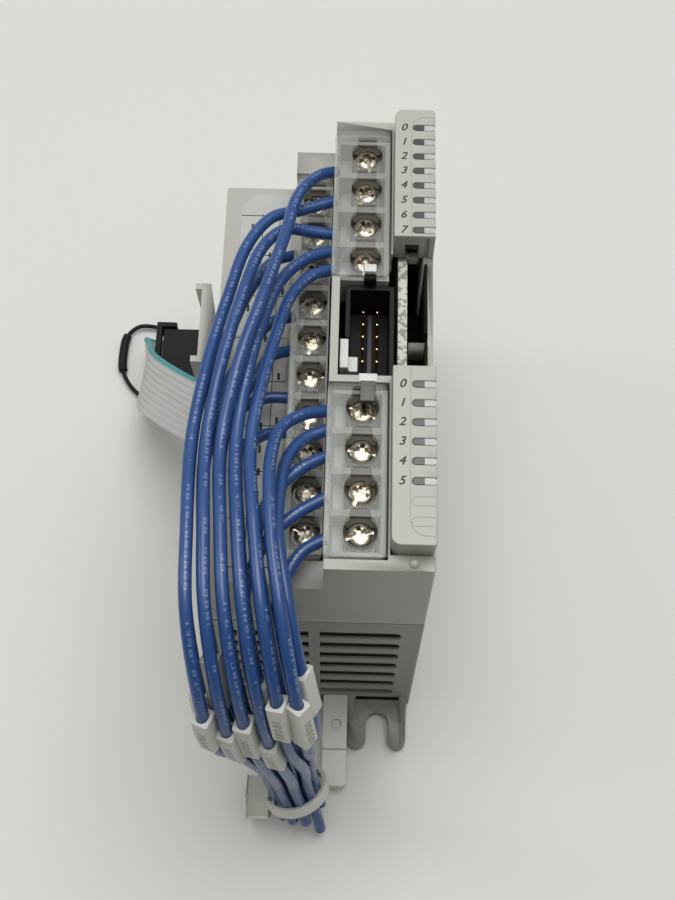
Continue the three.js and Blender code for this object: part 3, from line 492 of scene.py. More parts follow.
# %% Ribbon cable
RIBBON_CORES = 10
RIBBON_PITCH = 1.27
RIBBON_THICK = 0.95
RIBBON_ROUTE = [
    (-7, 3.4, 33.6), (-8, 3.4, 37), (-11.5, 3.4, 38.9), (-16, 3.4, 39), (-20.6, 3.4, 39),
    (-23.4, 4.4, 37.2), (-28, 8.6, 32.6), (-33.2, 14, 27), (-37.8, 19.8, 20.6), (-40.6, 25.2, 14.4),
    (-41.4, 30.2, 9.4), (-41.5, 33, 6.4), (-40.6, 34.1, 4.5), (-38.9, 34.1, 4),
]
RIBBON_ACROSS = [
    (0, 1, 0), (0, 1, 0), (0, 1, 0), (0, 1, 0), (0, 1, 0), (0.1, 1, 0.1), (0.3, 0.92, 0.24),
    (0.3, 0.92, 0.24), (0.3, 0.9, 0.3), (0.2, 0.94, 0.3), (0.1, 0.97, 0.25), (0, 1, 0.1), (0, 1, 0),
    (0, 1, 0),
]


def ribbon_section(per_core=6):
    """Half-thickness outline of ridges, as (across, up) in millimetres, once round the strip."""
    half = RIBBON_CORES * RIBBON_PITCH / 2
    steps = RIBBON_CORES * per_core
    top = []
    for step in range(steps + 1):
        share = (step % per_core) / per_core
        ridge = 0.62 + 0.38 * math.sin(math.pi * share) ** 0.7
        top.append((-half + 2 * half * step / steps, RIBBON_THICK / 2 * ridge))
    return top + [(x, -y) for x, y in reversed(top)]


def ribbon_piece():
    line = smooth_line([at(*p) for p in RIBBON_ROUTE], per_span=10)
    across = smooth_line([Vector(a).normalized() for a in RIBBON_ACROSS], per_span=10)
    section = ribbon_section()
    rings = []
    for point, along, wide in zip(line, directions(line), across):
        up = along.cross(wide).normalized()
        wide = up.cross(along).normalized()
        rings.append([point + (wide * x + up * y) * MM for x, y in section])
    return line, swept("grey_ribbon", line, rings, sharp=60)


ribbon_line, ribbon = ribbon_piece()
print("ribbon:", round(line_length(ribbon_line) * 1000, 1), "mm long")

# %% [markdown]
# Materials are node trees, and trees read badly as long lists of links. One small class wraps a
# socket, so that a pattern can be written as arithmetic: a dash is a comparison, a print is a product
# of dashes. Its one method adds any node: settings first, then values or links for its inputs.

# %% Sockets with arithmetic
def set_stops(elements, stops):
    elements[0].position, elements[0].color = stops[0]
    elements[1].position, elements[1].color = stops[-1]
    for position, color in stops[1:-1]:
        elements.new(position).color = color


class Flow:
    """An output socket of a node tree that can be reckoned with like a number."""

    def __init__(self, tree, socket=None):
        self.tree, self.socket = tree, socket

    def node(self, kind, settings=None, inputs=None, output=0):
        """Adds a node and gives back one of its outputs. Ramp stops are (position, colour) pairs."""
        made = self.tree.nodes.new(kind)
        for name, value in (settings or {}).items():
            if name == "stops":
                set_stops(made.color_ramp.elements, value)
            else:
                setattr(made, name, value)
        for name, value in (inputs or {}).items():
            if isinstance(value, Flow):
                self.tree.links.new(value.socket, made.inputs[name])
            else:
                made.inputs[name].default_value = value
        return Flow(self.tree, made.outputs[output]) if len(made.outputs) else made

    def out(self, name):
        """Another output of the same node."""
        return Flow(self.tree, self.socket.node.outputs[name])

    def _math(self, operation, *operands):
        return self.node("ShaderNodeMath", {"operation": operation}, dict(enumerate(operands)))

    def __add__(self, other):
        return self._math("ADD", self, other)

    def __radd__(self, other):
        return self._math("ADD", other, self)

    def __sub__(self, other):
        return self._math("SUBTRACT", self, other)

    def __rsub__(self, other):
        return self._math("SUBTRACT", other, self)

    def __mul__(self, other):
        return self._math("MULTIPLY", self, other)

    def __rmul__(self, other):
        return self._math("MULTIPLY", other, self)

    def __gt__(self, other):
        return self._math("GREATER_THAN", self, other)

    def __lt__(self, other):
        return self._math("LESS_THAN", self, other)

    def __mod__(self, other):
        return self._math("FLOORED_MODULO", self, other)

    def __abs__(self):
        return self._math("ABSOLUTE", self)


# %% [markdown]
# Every finish starts the same way: a noise in the object's own space shifts the colour between two
# close tones and changes the gloss a little, and a finer noise can raise a faint grain. Moulded
# plastic is matt with a fine grain, wire jackets are glossy, and metal varies most in its gloss.

# %% The shared start of every finish
def noise(flow, scale, detail=3.0, where=None):
    place = where or flow.node("ShaderNodeTexCoord", output="Object")
    return flow.node("ShaderNodeTexNoise", None, {"Vector": place, "Scale": scale, "Detail": detail})


def mixed(flow, factor, first, second):
    """A colour between two colours."""
    return flow.node("ShaderNodeMix", {"data_type": "RGBA"}, {0: factor, 6: first, 7: second}, 2)


def finish(name, dark, light, rough, scale=150.0, grain=0.0, grain_scale=2500.0, paint=None, **constants):
    """A procedural material. paint(flow, colour) may lay a pattern over the base colour."""
    made = bpy.data.materials.new(name)
    made.use_nodes = True
    surface = made.node_tree.nodes["Principled BSDF"]
    for socket, value in constants.items():
        surface.inputs[socket.replace("_", " ")].default_value = value
    flow = Flow(made.node_tree)
    cloud = noise(flow, scale)
    color = mixed(flow, cloud, (*dark, 1), (*light, 1))
    if paint:
        color = paint(flow, color)
    made.node_tree.links.new(color.socket, surface.inputs["Base Color"])
    gloss = cloud * (rough[1] - rough[0]) + rough[0]
    made.node_tree.links.new(gloss.socket, surface.inputs["Roughness"])
    if grain:
        fine = noise(flow, grain_scale, 2.0)
        bump = flow.node("ShaderNodeBump", None, {"Strength": grain, "Distance": 0.0001, "Height": fine})
        made.node_tree.links.new(bump.socket, surface.inputs["Normal"])
    return made


def uv_parts(flow):
    place = flow.node("ShaderNodeUVMap", {"uv_map": "UVMap"}, output="UV")
    split = flow.node("ShaderNodeSeparateXYZ", None, {0: place})
    return split, split.out("Y")


print("finishes can be made")

# %% [markdown]
# The printed finishes. A wire carries a worn white line of print along one side, so its pattern is a
# narrow band of small hollow blocks, broken up by noise. A sleeve carries a few black blocks on its
# front. The ribbon's first core is teal, on the edge that marks wire one, and the creases between its
# cores are painted darker, as painted shade. No mark is a letter.

# %% Printed finishes, and painted shade in the ribbon's creases
def wire_print(flow, color):
    along, around = uv_parts(flow)
    letter = along % 0.0017
    stroke = (letter > 0.0006) * (abs(around - 0.5) < 0.04)
    hollow = (abs(letter - 0.00115) < 0.0003) * (abs(abs(around - 0.5) - 0.019) < 0.012)
    worn = noise(flow, 420.0, 4.0) > 0.48
    words = ((along % 0.023) > 0.0045)
    return mixed(flow, stroke * (1 - hollow) * worn * words * 0.3, color, (0.55, 0.62, 0.75, 1))


def sleeve_print(flow, color):
    along, around = uv_parts(flow)
    place = abs(around - 0.225)
    letter = (along * 7.5) % 1
    stroke = (letter > 0.34) * (along > 0.36) * (along < 0.93) * (place < 0.0135)
    hollow = (abs(letter - 0.67) < 0.18) * (abs(place - 0.0055) < 0.0042)
    return mixed(flow, stroke * (1 - hollow) * 0.85, color, (0.03, 0.03, 0.03, 1))


def ribbon_edge(flow, color):
    around = uv_parts(flow)[1]
    # Painted shade: the creases between the cores are darkened.
    groove = abs(((around * 20) % 1) - 0.5) > 0.42
    color = mixed(flow, groove * 0.35, color, (0.2, 0.2, 0.19, 1))
    return mixed(flow, abs(around - 0.5) < 0.035, color, (0.05, 0.3, 0.33, 1))


def lens_window(flow, color):
    place = flow.node("ShaderNodeTexCoord", output="Object")
    across = flow.node("ShaderNodeSeparateXYZ", None, {0: place})
    edge = at(18.15, 0, 0).x
    return mixed(flow, across < edge, color, (0.06, 0.06, 0.054, 1))


def board_speckle(flow, color):
    spots = noise(flow, 900.0, 2.0) > 0.53
    return mixed(flow, spots * 0.8, color, (0.17, 0.18, 0.13, 1))


HOUSING = finish("housing_plastic", (0.4, 0.4, 0.355), (0.43, 0.43, 0.385), (0.42, 0.52), grain=0.25)
SHELL = finish("shell_plastic", (0.27, 0.27, 0.238), (0.3, 0.3, 0.265), (0.45, 0.55), grain=0.25)
BEZEL = finish("bezel_plastic", (0.41, 0.415, 0.365), (0.44, 0.445, 0.395), (0.38, 0.48), grain=0.3)
BLOCK = finish("block_plastic", (0.34, 0.34, 0.3), (0.42, 0.42, 0.38), (0.35, 0.5))
CLEAR = finish("clear_cover", (0.52, 0.54, 0.5), (0.7, 0.72, 0.67), (0.05, 0.16), scale=90.0,
               Alpha=0.16, Coat_Weight=0.6)
LENS = finish("light_pipe", (0.36, 0.36, 0.34), (0.55, 0.55, 0.52), (0.2, 0.35), scale=500.0,
              paint=lens_window)
BLACK = finish("black_plastic", (0.004, 0.004, 0.005), (0.011, 0.011, 0.012), (0.5, 0.65), grain=0.2,
               Specular_IOR_Level=0.25)
# Painted shade: a near-black finish for plates set where the inside of the casing, its gaps and slits lie in
# shade.
PAINTED_SHADE = finish("painted_inner_shade", (0.006, 0.006, 0.005), (0.015, 0.014, 0.011), (0.7, 0.8), Specular_IOR_Level=0.1)
RIB = finish("header_rib", (0.03, 0.03, 0.033), (0.055, 0.055, 0.06), (0.5, 0.6))
# Painted shade: the dark, shaded brass of the clamp plates and of the keyhole necks.
OLIVE = finish("shadowed_brass", (0.03, 0.028, 0.018), (0.075, 0.066, 0.042), (0.5, 0.65), Metallic=0.3)
NICKEL = finish("screw_metal", (0.2, 0.16, 0.1), (0.56, 0.52, 0.44), (0.14, 0.32), scale=900.0,
                grain=0.3, grain_scale=1200.0, Metallic=1.0)
GOLD = finish("gold_pins", (0.75, 0.5, 0.2), (0.95, 0.72, 0.35), (0.15, 0.3), Metallic=1.0)
KEY = finish("key_plastic", (0.62, 0.62, 0.6), (0.7, 0.7, 0.68), (0.4, 0.5))
TONGUE = finish("tongue_plastic", (0.1, 0.1, 0.085), (0.13, 0.13, 0.11), (0.45, 0.55))
LABEL = finish("label_film", (0.44, 0.45, 0.42), (0.5, 0.51, 0.48), (0.2, 0.32))
# Black print on the bezels and the label; the same black is painted shade in the gaps beside the covers.
INK_AND_SHADE = finish("ink_and_gap_shade", (0.012, 0.012, 0.012), (0.025, 0.025, 0.025), (0.5, 0.6))
# Painted shade: the moulded lines on the bezels are flat strips in this darker grey.
GROOVE_SHADE = finish("moulded_groove", (0.3, 0.3, 0.27), (0.36, 0.36, 0.33), (0.5, 0.6))
NYLON = finish("latch_nylon", (0.6, 0.6, 0.55), (0.66, 0.66, 0.61), (0.3, 0.42))
TIE = finish("tie_nylon", (0.55, 0.55, 0.48), (0.66, 0.66, 0.6), (0.28, 0.4))
JACKET = finish("wire_jacket", (0.015, 0.054, 0.19), (0.027, 0.088, 0.27), (0.26, 0.4), scale=60.0,
                paint=wire_print, Coat_Weight=0.15)
SLEEVE = finish("marker_sleeve", (0.52, 0.52, 0.48), (0.6, 0.6, 0.55), (0.4, 0.5), paint=sleeve_print)
RIBBON = finish("ribbon_jacket", (0.47, 0.47, 0.46), (0.54, 0.54, 0.53), (0.4, 0.5), paint=ribbon_edge)
BOARD = finish("circuit_board", (0.5, 0.5, 0.43), (0.62, 0.62, 0.55), (0.5, 0.65), paint=board_speckle)
RELAY = finish("relay_plastic", (0.02, 0.05, 0.11), (0.03, 0.06, 0.13), (0.4, 0.5))
print("finishes:", len(bpy.data.materials))

# %% [markdown]
# The large mouldings keep the engineering shapes. Each is copied and its flat faces are joined up.
# Then the edges get a radius, as a mould's edges have, so they catch light. The two casing halves
# hold thin walls, where a radius wouldn't fit. On those only the outer flat faces are joined up, and
# only the corners where two outer faces meet are marked for the bevel.

# %% Moulded parts from the engineering shapes
def on_outside(edge):
    """True if an edge lies on the casing's sides or ends."""
    places = [(vert.co - SHIFT) / MM for vert in edge.verts]
    on_side = all(abs(abs(p.x) - 20.2) < 0.02 for p in places)
    on_end = all(abs(abs(p.y) - 45) < 0.02 for p in places)
    return on_side or on_end


def moulded(node, name, material, width=0.25, outside=False, body="root"):
    source = frame["nodes"][node]
    bm = bmesh.new()
    bm.from_mesh(source.data)
    bm.transform(source.matrix_world)
    bmesh.ops.remove_doubles(bm, verts=bm.verts, dist=2e-6)
    flat = [edge for edge in bm.edges if on_outside(edge)] if outside else bm.edges
    bmesh.ops.dissolve_limit(bm, angle_limit=math.radians(1), verts=[], edges=flat)
    if outside:
        weight = bm.edges.layers.float.new("bevel_weight_edge")
        for edge in bm.edges:
            sharp = edge.is_manifold and edge.calc_face_angle(0) > math.radians(80)
            open_sides = all(all(on_outside(rim) for rim in face.edges) for face in edge.link_faces)
            edge[weight] = 1.0 if sharp and open_sides and edge.calc_length() > MM else 0.0
    piece = from_bmesh(name, bm, material)
    if width:
        bevel = piece.modifiers.new("edge", "BEVEL")
        bevel.width = width * MM
        bevel.segments = 2
        bevel.limit_method = "WEIGHT" if outside else "ANGLE"
        bevel.angle_limit = math.radians(40)
        bevel.use_clamp_overlap = False
        bevel.harden_normals = True
    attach(piece, body)
    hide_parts(node)
    return piece


SMALL = 0.12
MOULDINGS = {  # node: finish, edge radius
    "base_shell": (SHELL, 0.3), "housing_shell": (HOUSING, 0.35), "upper_indicator_bezel": (BEZEL, 0.2),
    "lower_indicator_bezel": (BEZEL, 0.2), "input_light_pipe": (LENS, 0), "output_light_pipe": (LENS, 0),
    "upper_terminal_block": (BLOCK, 0), "lower_terminal_block": (BLOCK, 0),
    "inner_terminal_block": (BLOCK, 0),
    "bus_header": (BLACK, SMALL), "bus_header_key": (KEY, SMALL),
    "ribbon_connector": (BLACK, 0.15), "ribbon_strain_relief": (BLACK, 0.15),
}
for node, (material, width) in MOULDINGS.items():
    moulded(node, f"moulded_{node}", material, width, outside=node in ("base_shell", "housing_shell"))
moulded("din_rail_latch", "moulded_latch", NYLON, 0.2, body="latch")
CARRIED_OVER = {"main_circuit_board": BOARD, "relay_board": BOARD, "output_relay_bank": RELAY,
                "wiring_label": LABEL}
for node, material in CARRIED_OVER.items():
    for place in frame["nodes"][node].material_slots:
        place.material = material
print("mouldings:", len(MOULDINGS) + 1)

# %% [markdown]
# Many things here stand in evenly spaced rows: screws, clamp plates, pins, printed lines. One
# geometry tree makes every row: a line of points, a copy of a template on each, turned at random.

# %% A tree that makes rows
def baked(holder):
    """A plain mesh of an object as it stands after its modifiers."""
    return bpy.data.meshes.new_from_object(holder.evaluated_get(bpy.context.evaluated_depsgraph_get()))


def row_tree():
    tree = bpy.data.node_groups.new("row_of_copies", "GeometryNodeTree")
    for name, kind in (("Template", "Object"), ("Count", "Int"), ("Start", "Vector"), ("Step", "Vector"),
                       ("Turn", "Float"), ("Seed", "Int"), ("Finish", "Material")):
        tree.interface.new_socket(name, in_out="INPUT", socket_type=f"NodeSocket{kind}")
    tree.interface.new_socket("Geometry", in_out="OUTPUT", socket_type="NodeSocketGeometry")
    flow = Flow(tree)
    given = flow.node("NodeGroupInput")
    line = flow.node("GeometryNodeMeshLine", {"mode": "OFFSET"}, {
        "Count": given.out("Count"), "Start Location": given.out("Start"), "Offset": given.out("Step")})
    turn = flow.node("FunctionNodeRandomValue", {"data_type": "FLOAT"}, {
        2: 0.0, 3: given.out("Turn"), "Seed": given.out("Seed")}, 1)
    spin = flow.node("ShaderNodeCombineXYZ", None, {"Z": turn})
    shape = flow.node("GeometryNodeObjectInfo", None, {"Object": given.out("Template")}, "Geometry")
    copies = flow.node("GeometryNodeInstanceOnPoints", None, {
        "Points": line, "Instance": shape, "Rotation": spin})
    real = flow.node("GeometryNodeRealizeInstances", None, {"Geometry": copies})
    coloured = flow.node("GeometryNodeSetMaterial", None, {
        "Geometry": real, "Material": given.out("Finish")})
    flow.node("NodeGroupOutput", None, {"Geometry": coloured})
    return tree


ROWS = row_tree()


def row(name, template, count, start, step, finish_of, turn=0.0, seed=1, body="root"):
    """The plain mesh of one row, riding on a body. start is a place and step a distance, in mm."""
    values = {"Template": template, "Count": count, "Start": at(*start), "Step": Vector(step) * MM,
              "Turn": turn, "Seed": seed, "Finish": finish_of}
    holder = link_piece("holder", bpy.data.meshes.new("holder"))
    grow = holder.modifiers.new("grow", "NODES")
    grow.node_group = ROWS
    for item in ROWS.interface.items_tree:
        if item.name in values:
            grow[item.identifier] = values[item.name]
    mesh = baked(holder)
    mesh.name = name
    bpy.data.objects.remove(holder)
    piece = link_piece(name, mesh)
    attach(piece, body)
    return piece


def box_template(x, y, z, corner=0.0):
    """A block round the origin, to be copied into rows. Sizes in millimetres."""
    bm = bmesh.new()
    bmesh.ops.create_cube(bm, size=1, matrix=Matrix.Diagonal((x * MM, y * MM, z * MM, 1)))
    if corner:
        bmesh.ops.bevel(bm, geom=bm.edges[:], offset=corner * MM, segments=2, affect="EDGES", profile=0.5)
    return from_bmesh("template", bm)


def rows_of(template, *rows):
    """Makes each row from the template, then takes the template away."""
    made = [row(*facts[:1], template, *facts[1:]) for facts in rows]
    bpy.data.objects.remove(template)
    return made


print("row tree:", len(ROWS.nodes), "nodes")

# %% [markdown]
# A terminal screw is a pan head with a slot and a cross cut into it, so either driver fits. The head
# is a turned profile. The slot and the cross are cut out of it once, and every screw is then a copy
# that stands at its own turn, on its own body, because each one can be turned.

# %% Terminal screws
SCREW_SIDES = 40


def screw_template():
    bm = bmesh.new()
    profile = [(0.0, -5.7), (1.2, -5.7), (1.4, -5.4), (1.4, -1.9), (2.3, -1.9), (2.4, -1.8), (2.4, -0.85),
               (2.28, -0.5), (1.9, -0.22), (1.2, -0.06), (0.0, 0.0)]
    rings = []
    for radius, height in profile[1:-1]:
        turns = [2 * math.pi * k / SCREW_SIDES for k in range(SCREW_SIDES)]
        rings.append([bm.verts.new((radius * MM * math.cos(a), radius * MM * math.sin(a), height * MM))
                      for a in turns])
    for lower, upper in zip(rings, rings[1:]):
        for k in range(SCREW_SIDES):
            after = (k + 1) % SCREW_SIDES
            bm.faces.new((lower[k], lower[after], upper[after], upper[k]))
    bm.faces.new(reversed(rings[0]))
    bm.faces.new(rings[-1])
    screw = from_bmesh("screw_template", bm, sharp=35)
    cuts = (((-3, -0.36, -0.95), (3, 0.36, 1)), ((-0.42, -1.55, -1.25), (0.42, 1.55, 1)),
            ((-1.1, -0.75, -1.1), (1.1, 0.75, 1)))
    for low, high in cuts:
        tool_mesh = bmesh.new()
        middle = [(a + b) / 2 * MM for a, b in zip(low, high)]
        size = [(b - a) * MM for a, b in zip(low, high)]
        place = Matrix.Translation(middle) @ Matrix.Diagonal((*size, 1))
        bmesh.ops.create_cube(tool_mesh, size=1, matrix=place)
        tool = from_bmesh("tool", tool_mesh)
        cut = screw.modifiers.new("cut", "BOOLEAN")
        cut.object = tool
        cut.operation = "DIFFERENCE"
        cut.solver = "EXACT"
        mesh = baked(screw)
        screw.modifiers.clear()
        screw.data = mesh
        bpy.data.objects.remove(tool)
    screw.data.shade_smooth()
    screw.data.set_sharp_from_angle(angle=math.radians(35))
    return screw


PITCH = 7.62
OUTER_X, INNER_X = 7.77, -1.6
UPPER_Y, LOWER_Y, INNER_Y = 37.75, -15.23, 34.4  # the first screw of each row
ROW_STARTS = {"upper": (OUTER_X, UPPER_Y, 81.2, 4), "lower": (OUTER_X, LOWER_Y, 81.2, 4),
              "inner": (INNER_X, INNER_Y, 71.1, 10)}
FIRST_SEED, SEED_STEP = 3, 7
template = screw_template()
seed = FIRST_SEED
for group, (x, first_y, top, count) in ROW_STARTS.items():
    for number in range(count):
        seed += SEED_STEP
        name = f"{group}_screw_{number + 1}"
        piece = row(f"turned_{name}", template, 1, (x, first_y - number * PITCH, top), (0, 0, 0), NICKEL,
                    math.pi, seed, body=name)
        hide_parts(name)
bpy.data.objects.remove(template)
print("screws:", sum(facts[3] for facts in ROW_STARTS.values()))

# %% [markdown]
# Round each screw lies a square clamp plate, coloured dark as painted shade, since it lies deep under
# the cover. A second dark plate of painted shade lies above it, just inside the mouth of the keyhole
# over the screw.

# %% Clamp plates
step_down = (0, -PITCH, 0)
rows_of(box_template(5.6, 6.3, 0.5, 0.12),
        ("upper_clamp_plates", 4, (OUTER_X, UPPER_Y, 79.0), step_down, OLIVE),
        ("lower_clamp_plates", 4, (OUTER_X, LOWER_Y, 79.0), step_down, OLIVE),
        ("inner_clamp_plates", 10, (INNER_X, INNER_Y, 68.9), step_down, OLIVE))
# Painted shade: dark plates in the necks of the keyholes.
rows_of(box_template(4.9, 3.0, 0.5, 0.1),
        ("upper_dark_pockets", 4, (OUTER_X, 40.6, 80.4), step_down, OLIVE),
        ("lower_dark_pockets", 4, (OUTER_X, -12.4, 80.4), step_down, OLIVE),
        ("inner_dark_pockets", 10, (INNER_X, 37.2, 70.4), step_down, OLIVE))
print("clamp plates laid")

# %% [markdown]
# A finger guard is a thin clear plate with a keyhole over each screw, held by a lip along its left
# edge. It is drawn as a flat curve with holes, thickened, and its edges rounded, because the round
# rims of the keyholes are what shows most on a clear part.

# %% Clear covers
def curve_mesh(curve, shift):
    """A bmesh of a curve, moved by a shift in metres."""
    holder = link_piece("holder", curve)
    mesh = baked(holder)
    bpy.data.objects.remove(holder)
    bm = bmesh.new()
    bm.from_mesh(mesh)
    bmesh.ops.translate(bm, vec=shift, verts=bm.verts)
    return bm


def arc(cx, cy, radius, start, end, count):
    turns = [math.radians(start + (end - start) * k / count) for k in range(count + 1)]
    return [(cx + radius * math.cos(a), cy + radius * math.sin(a)) for a in turns]


def cover_piece(name, node, x0, x1, y0, y1, top, hole_x, first_y, count, hole):
    radius, neck, reach = hole
    corner = 1.2
    outline = (arc(x1 - corner, y0 + corner, corner, -90, 0, 5)
               + arc(x1 - corner, y1 - corner, corner, 0, 90, 5)
               + arc(x0 + corner, y1 - corner, corner, 90, 180, 5)
               + arc(x0 + corner, y0 + corner, corner, 180, 270, 5))
    half_open = math.degrees(math.acos(neck / radius))
    outlines = [outline]
    for number in range(count):
        y = first_y - number * PITCH
        hole_line = arc(hole_x, y, radius, 180 - half_open, 360 + half_open, 30)
        hole_line += arc(hole_x + neck - 0.5, y + reach - 0.5, 0.5, 0, 90, 4)
        hole_line += arc(hole_x - neck + 0.5, y + reach - 0.5, 0.5, 90, 180, 4)
        outlines.append(hole_line)
    curve = bpy.data.curves.new(name, "CURVE")
    curve.dimensions = "2D"
    curve.fill_mode = "BOTH"
    curve.extrude = 0.5 * MM
    curve.bevel_depth = 0.15 * MM
    curve.bevel_resolution = 1
    curve.offset = -0.15 * MM
    for points in outlines:
        spline = curve.splines.new("POLY")
        spline.points.add(len(points) - 1)
        for point, (x, y) in zip(spline.points, points):
            point.co = (*at(x, y, 0), 1)
        spline.use_cyclic_u = True
    bm = curve_mesh(curve, (0, 0, (top - 0.65) * MM))
    bmesh.ops.remove_doubles(bm, verts=bm.verts, dist=1e-6)
    lip = add_box(bm, (x0, y0 + 0.9, top - 2.9), (x0 + 0.7, y1 - 0.9, top - 1.31))
    bevel_edges(bm, lip, 0.12)
    piece = from_bmesh(name, bm, CLEAR)
    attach(piece, "root")
    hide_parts(node)
    return piece


OUTER_KEYHOLE = (2.85, 1.75, 3.9)
INNER_KEYHOLE = (2.6, 1.55, 3.8)
COVERS = {  # left, right, bottom, top, height, hole's x, first hole's y, holes, keyhole
    "upper": (1.65, 12.1, 11.1, 43, 82.9, OUTER_X, UPPER_Y, 4, OUTER_KEYHOLE),
    "lower": (1.65, 12.1, -42.9, -10.8, 82.9, OUTER_X, LOWER_Y, 4, OUTER_KEYHOLE),
    "inner": (-5.6, 1.4, -39.7, 39.7, 73.1, INNER_X, INNER_Y, 10, INNER_KEYHOLE),
}
for group, facts in COVERS.items():
    cover_piece(f"clear_{group}_cover", f"{group}_terminal_cover", *facts)
print("covers:", len(COVERS))

# %% [markdown]
# The bus header holds two rows of five gold pins, with a grey rib on its floor between them. The
# pins are thin square posts with tapered tips.

# %% Header pins
def pin_template():
    bm = bmesh.new()
    bmesh.ops.create_cube(bm, size=1, matrix=Matrix.Diagonal((0.52 * MM, 0.52 * MM, 5.2 * MM, 1)))
    tip = bmesh.ops.extrude_discrete_faces(bm, faces=[f for f in bm.faces if f.normal.z > 0.9])["faces"][0]
    for vert in tip.verts:
        vert.co = Vector((vert.co.x * 0.45, vert.co.y * 0.45, vert.co.z + 0.5 * MM))
    return from_bmesh("template", bm)


pins = rows_of(pin_template(), ("left_pins", 5, (7.66, 7.08, 73.6), (0, -2.54, 0), GOLD),
               ("right_pins", 5, (10.2, 7.08, 73.6), (0, -2.54, 0), GOLD))
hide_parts("bus_header_pins")
rows_of(box_template(0.9, 13.5, 0.9, 0.15), ("header_rib", 1, (8.95, 2, 72.4), (0, 0, 0), RIB))
print("pins:", len(pins) * 5)

# %% [markdown]
# Each bezel is numbered beside its light slots, in a bold leaning face, and has shallow moulded
# lines: one that runs down beside the slots, and two blank outlines where a larger module would
# have more lights. The numbers are text made into meshes, printed flat on the face.
# The moulded lines are thin flat strips in a darker grey: painted shade of their grooves.

# %% Numbers and moulded lines on the bezels
FACE = 87.0


def number_piece(text, x, y):
    curve = bpy.data.curves.new(f"number_{text}", "FONT")
    curve.body = text
    curve.size = 2.2 * MM
    curve.shear = 0.28
    curve.bevel_depth = 0.11 * MM
    curve.bevel_resolution = 0
    curve.align_x, curve.align_y = "CENTER", "CENTER"
    bm = curve_mesh(curve, at(x, y, FACE - 0.07))
    piece = from_bmesh(f"number_{'upper' if y > 0 else 'lower'}_{text}", bm, INK_AND_SHADE)
    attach(piece, "root")
    return piece


for number in range(8):
    number_piece(str(number), 14.35, 40.84 - 3.225 * number)
for number in range(6):
    number_piece(str(number), 14.35, -12.78 - 3.591 * number)


def line_piece(name, points, wide, finish_of, tall=0.03):
    """A thin flat line through points on the bezel's face."""
    line = walked([at(*p) for p in points], 0.4 * MM)
    rings = []
    for point, along in zip(line, directions(line)):
        side = along.cross(Vector((0, 0, 1))).normalized() * wide / 2 * MM
        up = Vector((0, 0, tall * MM))
        rings.append([point - side, point + side, point + side + up, point - side + up])
    piece = swept(name, line, rings, finish_of, sharp=30)
    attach(piece, "root")
    return piece


def slot_border(name, far_y, near_y, sign):
    corner = arc(18.6, far_y - sign * 2.8, 2.8, 180, 180 - sign * 90, 12)
    points = [(15.8, near_y, FACE)] + [(x, y, FACE) for x, y in corner] + [(20.0, far_y, FACE)]
    return line_piece(name, points, 0.14, GROOVE_SHADE)


slot_border("upper_slot_border", 43.3, 17.2, 1)
slot_border("lower_slot_border", -40.4, -9.5, -1)
for number, y in enumerate((-34.33, -37.92)):
    ring = arc(16.85, y, 0.8, 90, 270, 10)
    points = [(20.0, y + 0.8, FACE)] + [(x, yy, FACE) for x, yy in ring] + [(20.0, y - 0.8, FACE)]
    line_piece(f"blank_outline_{number + 1}", points, 0.13, GROOVE_SHADE)
print("numbers: 14, moulded lines: 4")

# %% [markdown]
# Small things round the header and the covers: a catch at the foot of the upper row with a painted
# shadow under it, a grey tongue over the first lower terminal, and painted shade in the gap beside each
# row of covers. Dark plates behind the end vents, inside the gap between the bezels and in the slit
# above the latch tab are painted shade, standing for the unlit inside of the casing.

# %% Small fittings
def fitting(name, finish_of, *boxes, corner=0.12):
    bm = bmesh.new()
    for low, high in boxes:
        bevel_edges(bm, add_box(bm, low, high), corner)
    piece = from_bmesh(name, bm, finish_of)
    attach(piece, "root")
    return piece


fitting("upper_catch", KEY, ((7.6, 11.6, 81.6), (9.8, 13.2, 83.4)), corner=0.15)
fitting("upper_catch_shadow", PAINTED_SHADE, ((7.6, 10.2, 80.6), (9.8, 11.4, 83.0)))
fitting("lower_catch", KEY, ((7.0, -10.6, 80.3), (10.2, -9.0, 83.3)))
fitting("grey_tongue", TONGUE, ((7.3, -14.4, 82.95), (9.8, -10.5, 83.5)))
# Painted shade: the slit above the latch tab, the gaps beside the covers, the backs of the end vents and the
# gap between the bezels.
fitting("tab_slit", PAINTED_SHADE, ((8.8, -45.12, 3.3), (17.8, -44.9, 5.4)), corner=0.05)
fitting("upper_row_gap", INK_AND_SHADE, ((12.14, 12.0, 82.0), (12.42, 43.0, 82.93)), corner=0.04)
fitting("lower_row_gap", INK_AND_SHADE, ((12.14, -42.8, 82.0), (12.42, -11.0, 82.93)), corner=0.04)
fitting("lower_vent_backing", PAINTED_SHADE, ((-17.5, -44.5, 11), (17.5, -44.2, 54)), corner=0.05)
fitting("upper_vent_backing", PAINTED_SHADE, ((-17.5, 44.2, 11), (17.5, 44.5, 54)), corner=0.05)
fitting("bus_gap_lining", PAINTED_SHADE, ((18.6, -9.1, 62), (19.1, -0.7, 80.2)), ((18.6, 1.0, 62), (19.1, 15.5, 80.2)),
        ((15.6, -9.1, 61.4), (19.1, 15.5, 61.8)), corner=0.05)
print("fittings: 10")

# %% [markdown]
# The duct label is a pale film with a ruled table: a few thin lines along it and across it, and
# short dashes where the writing would be.

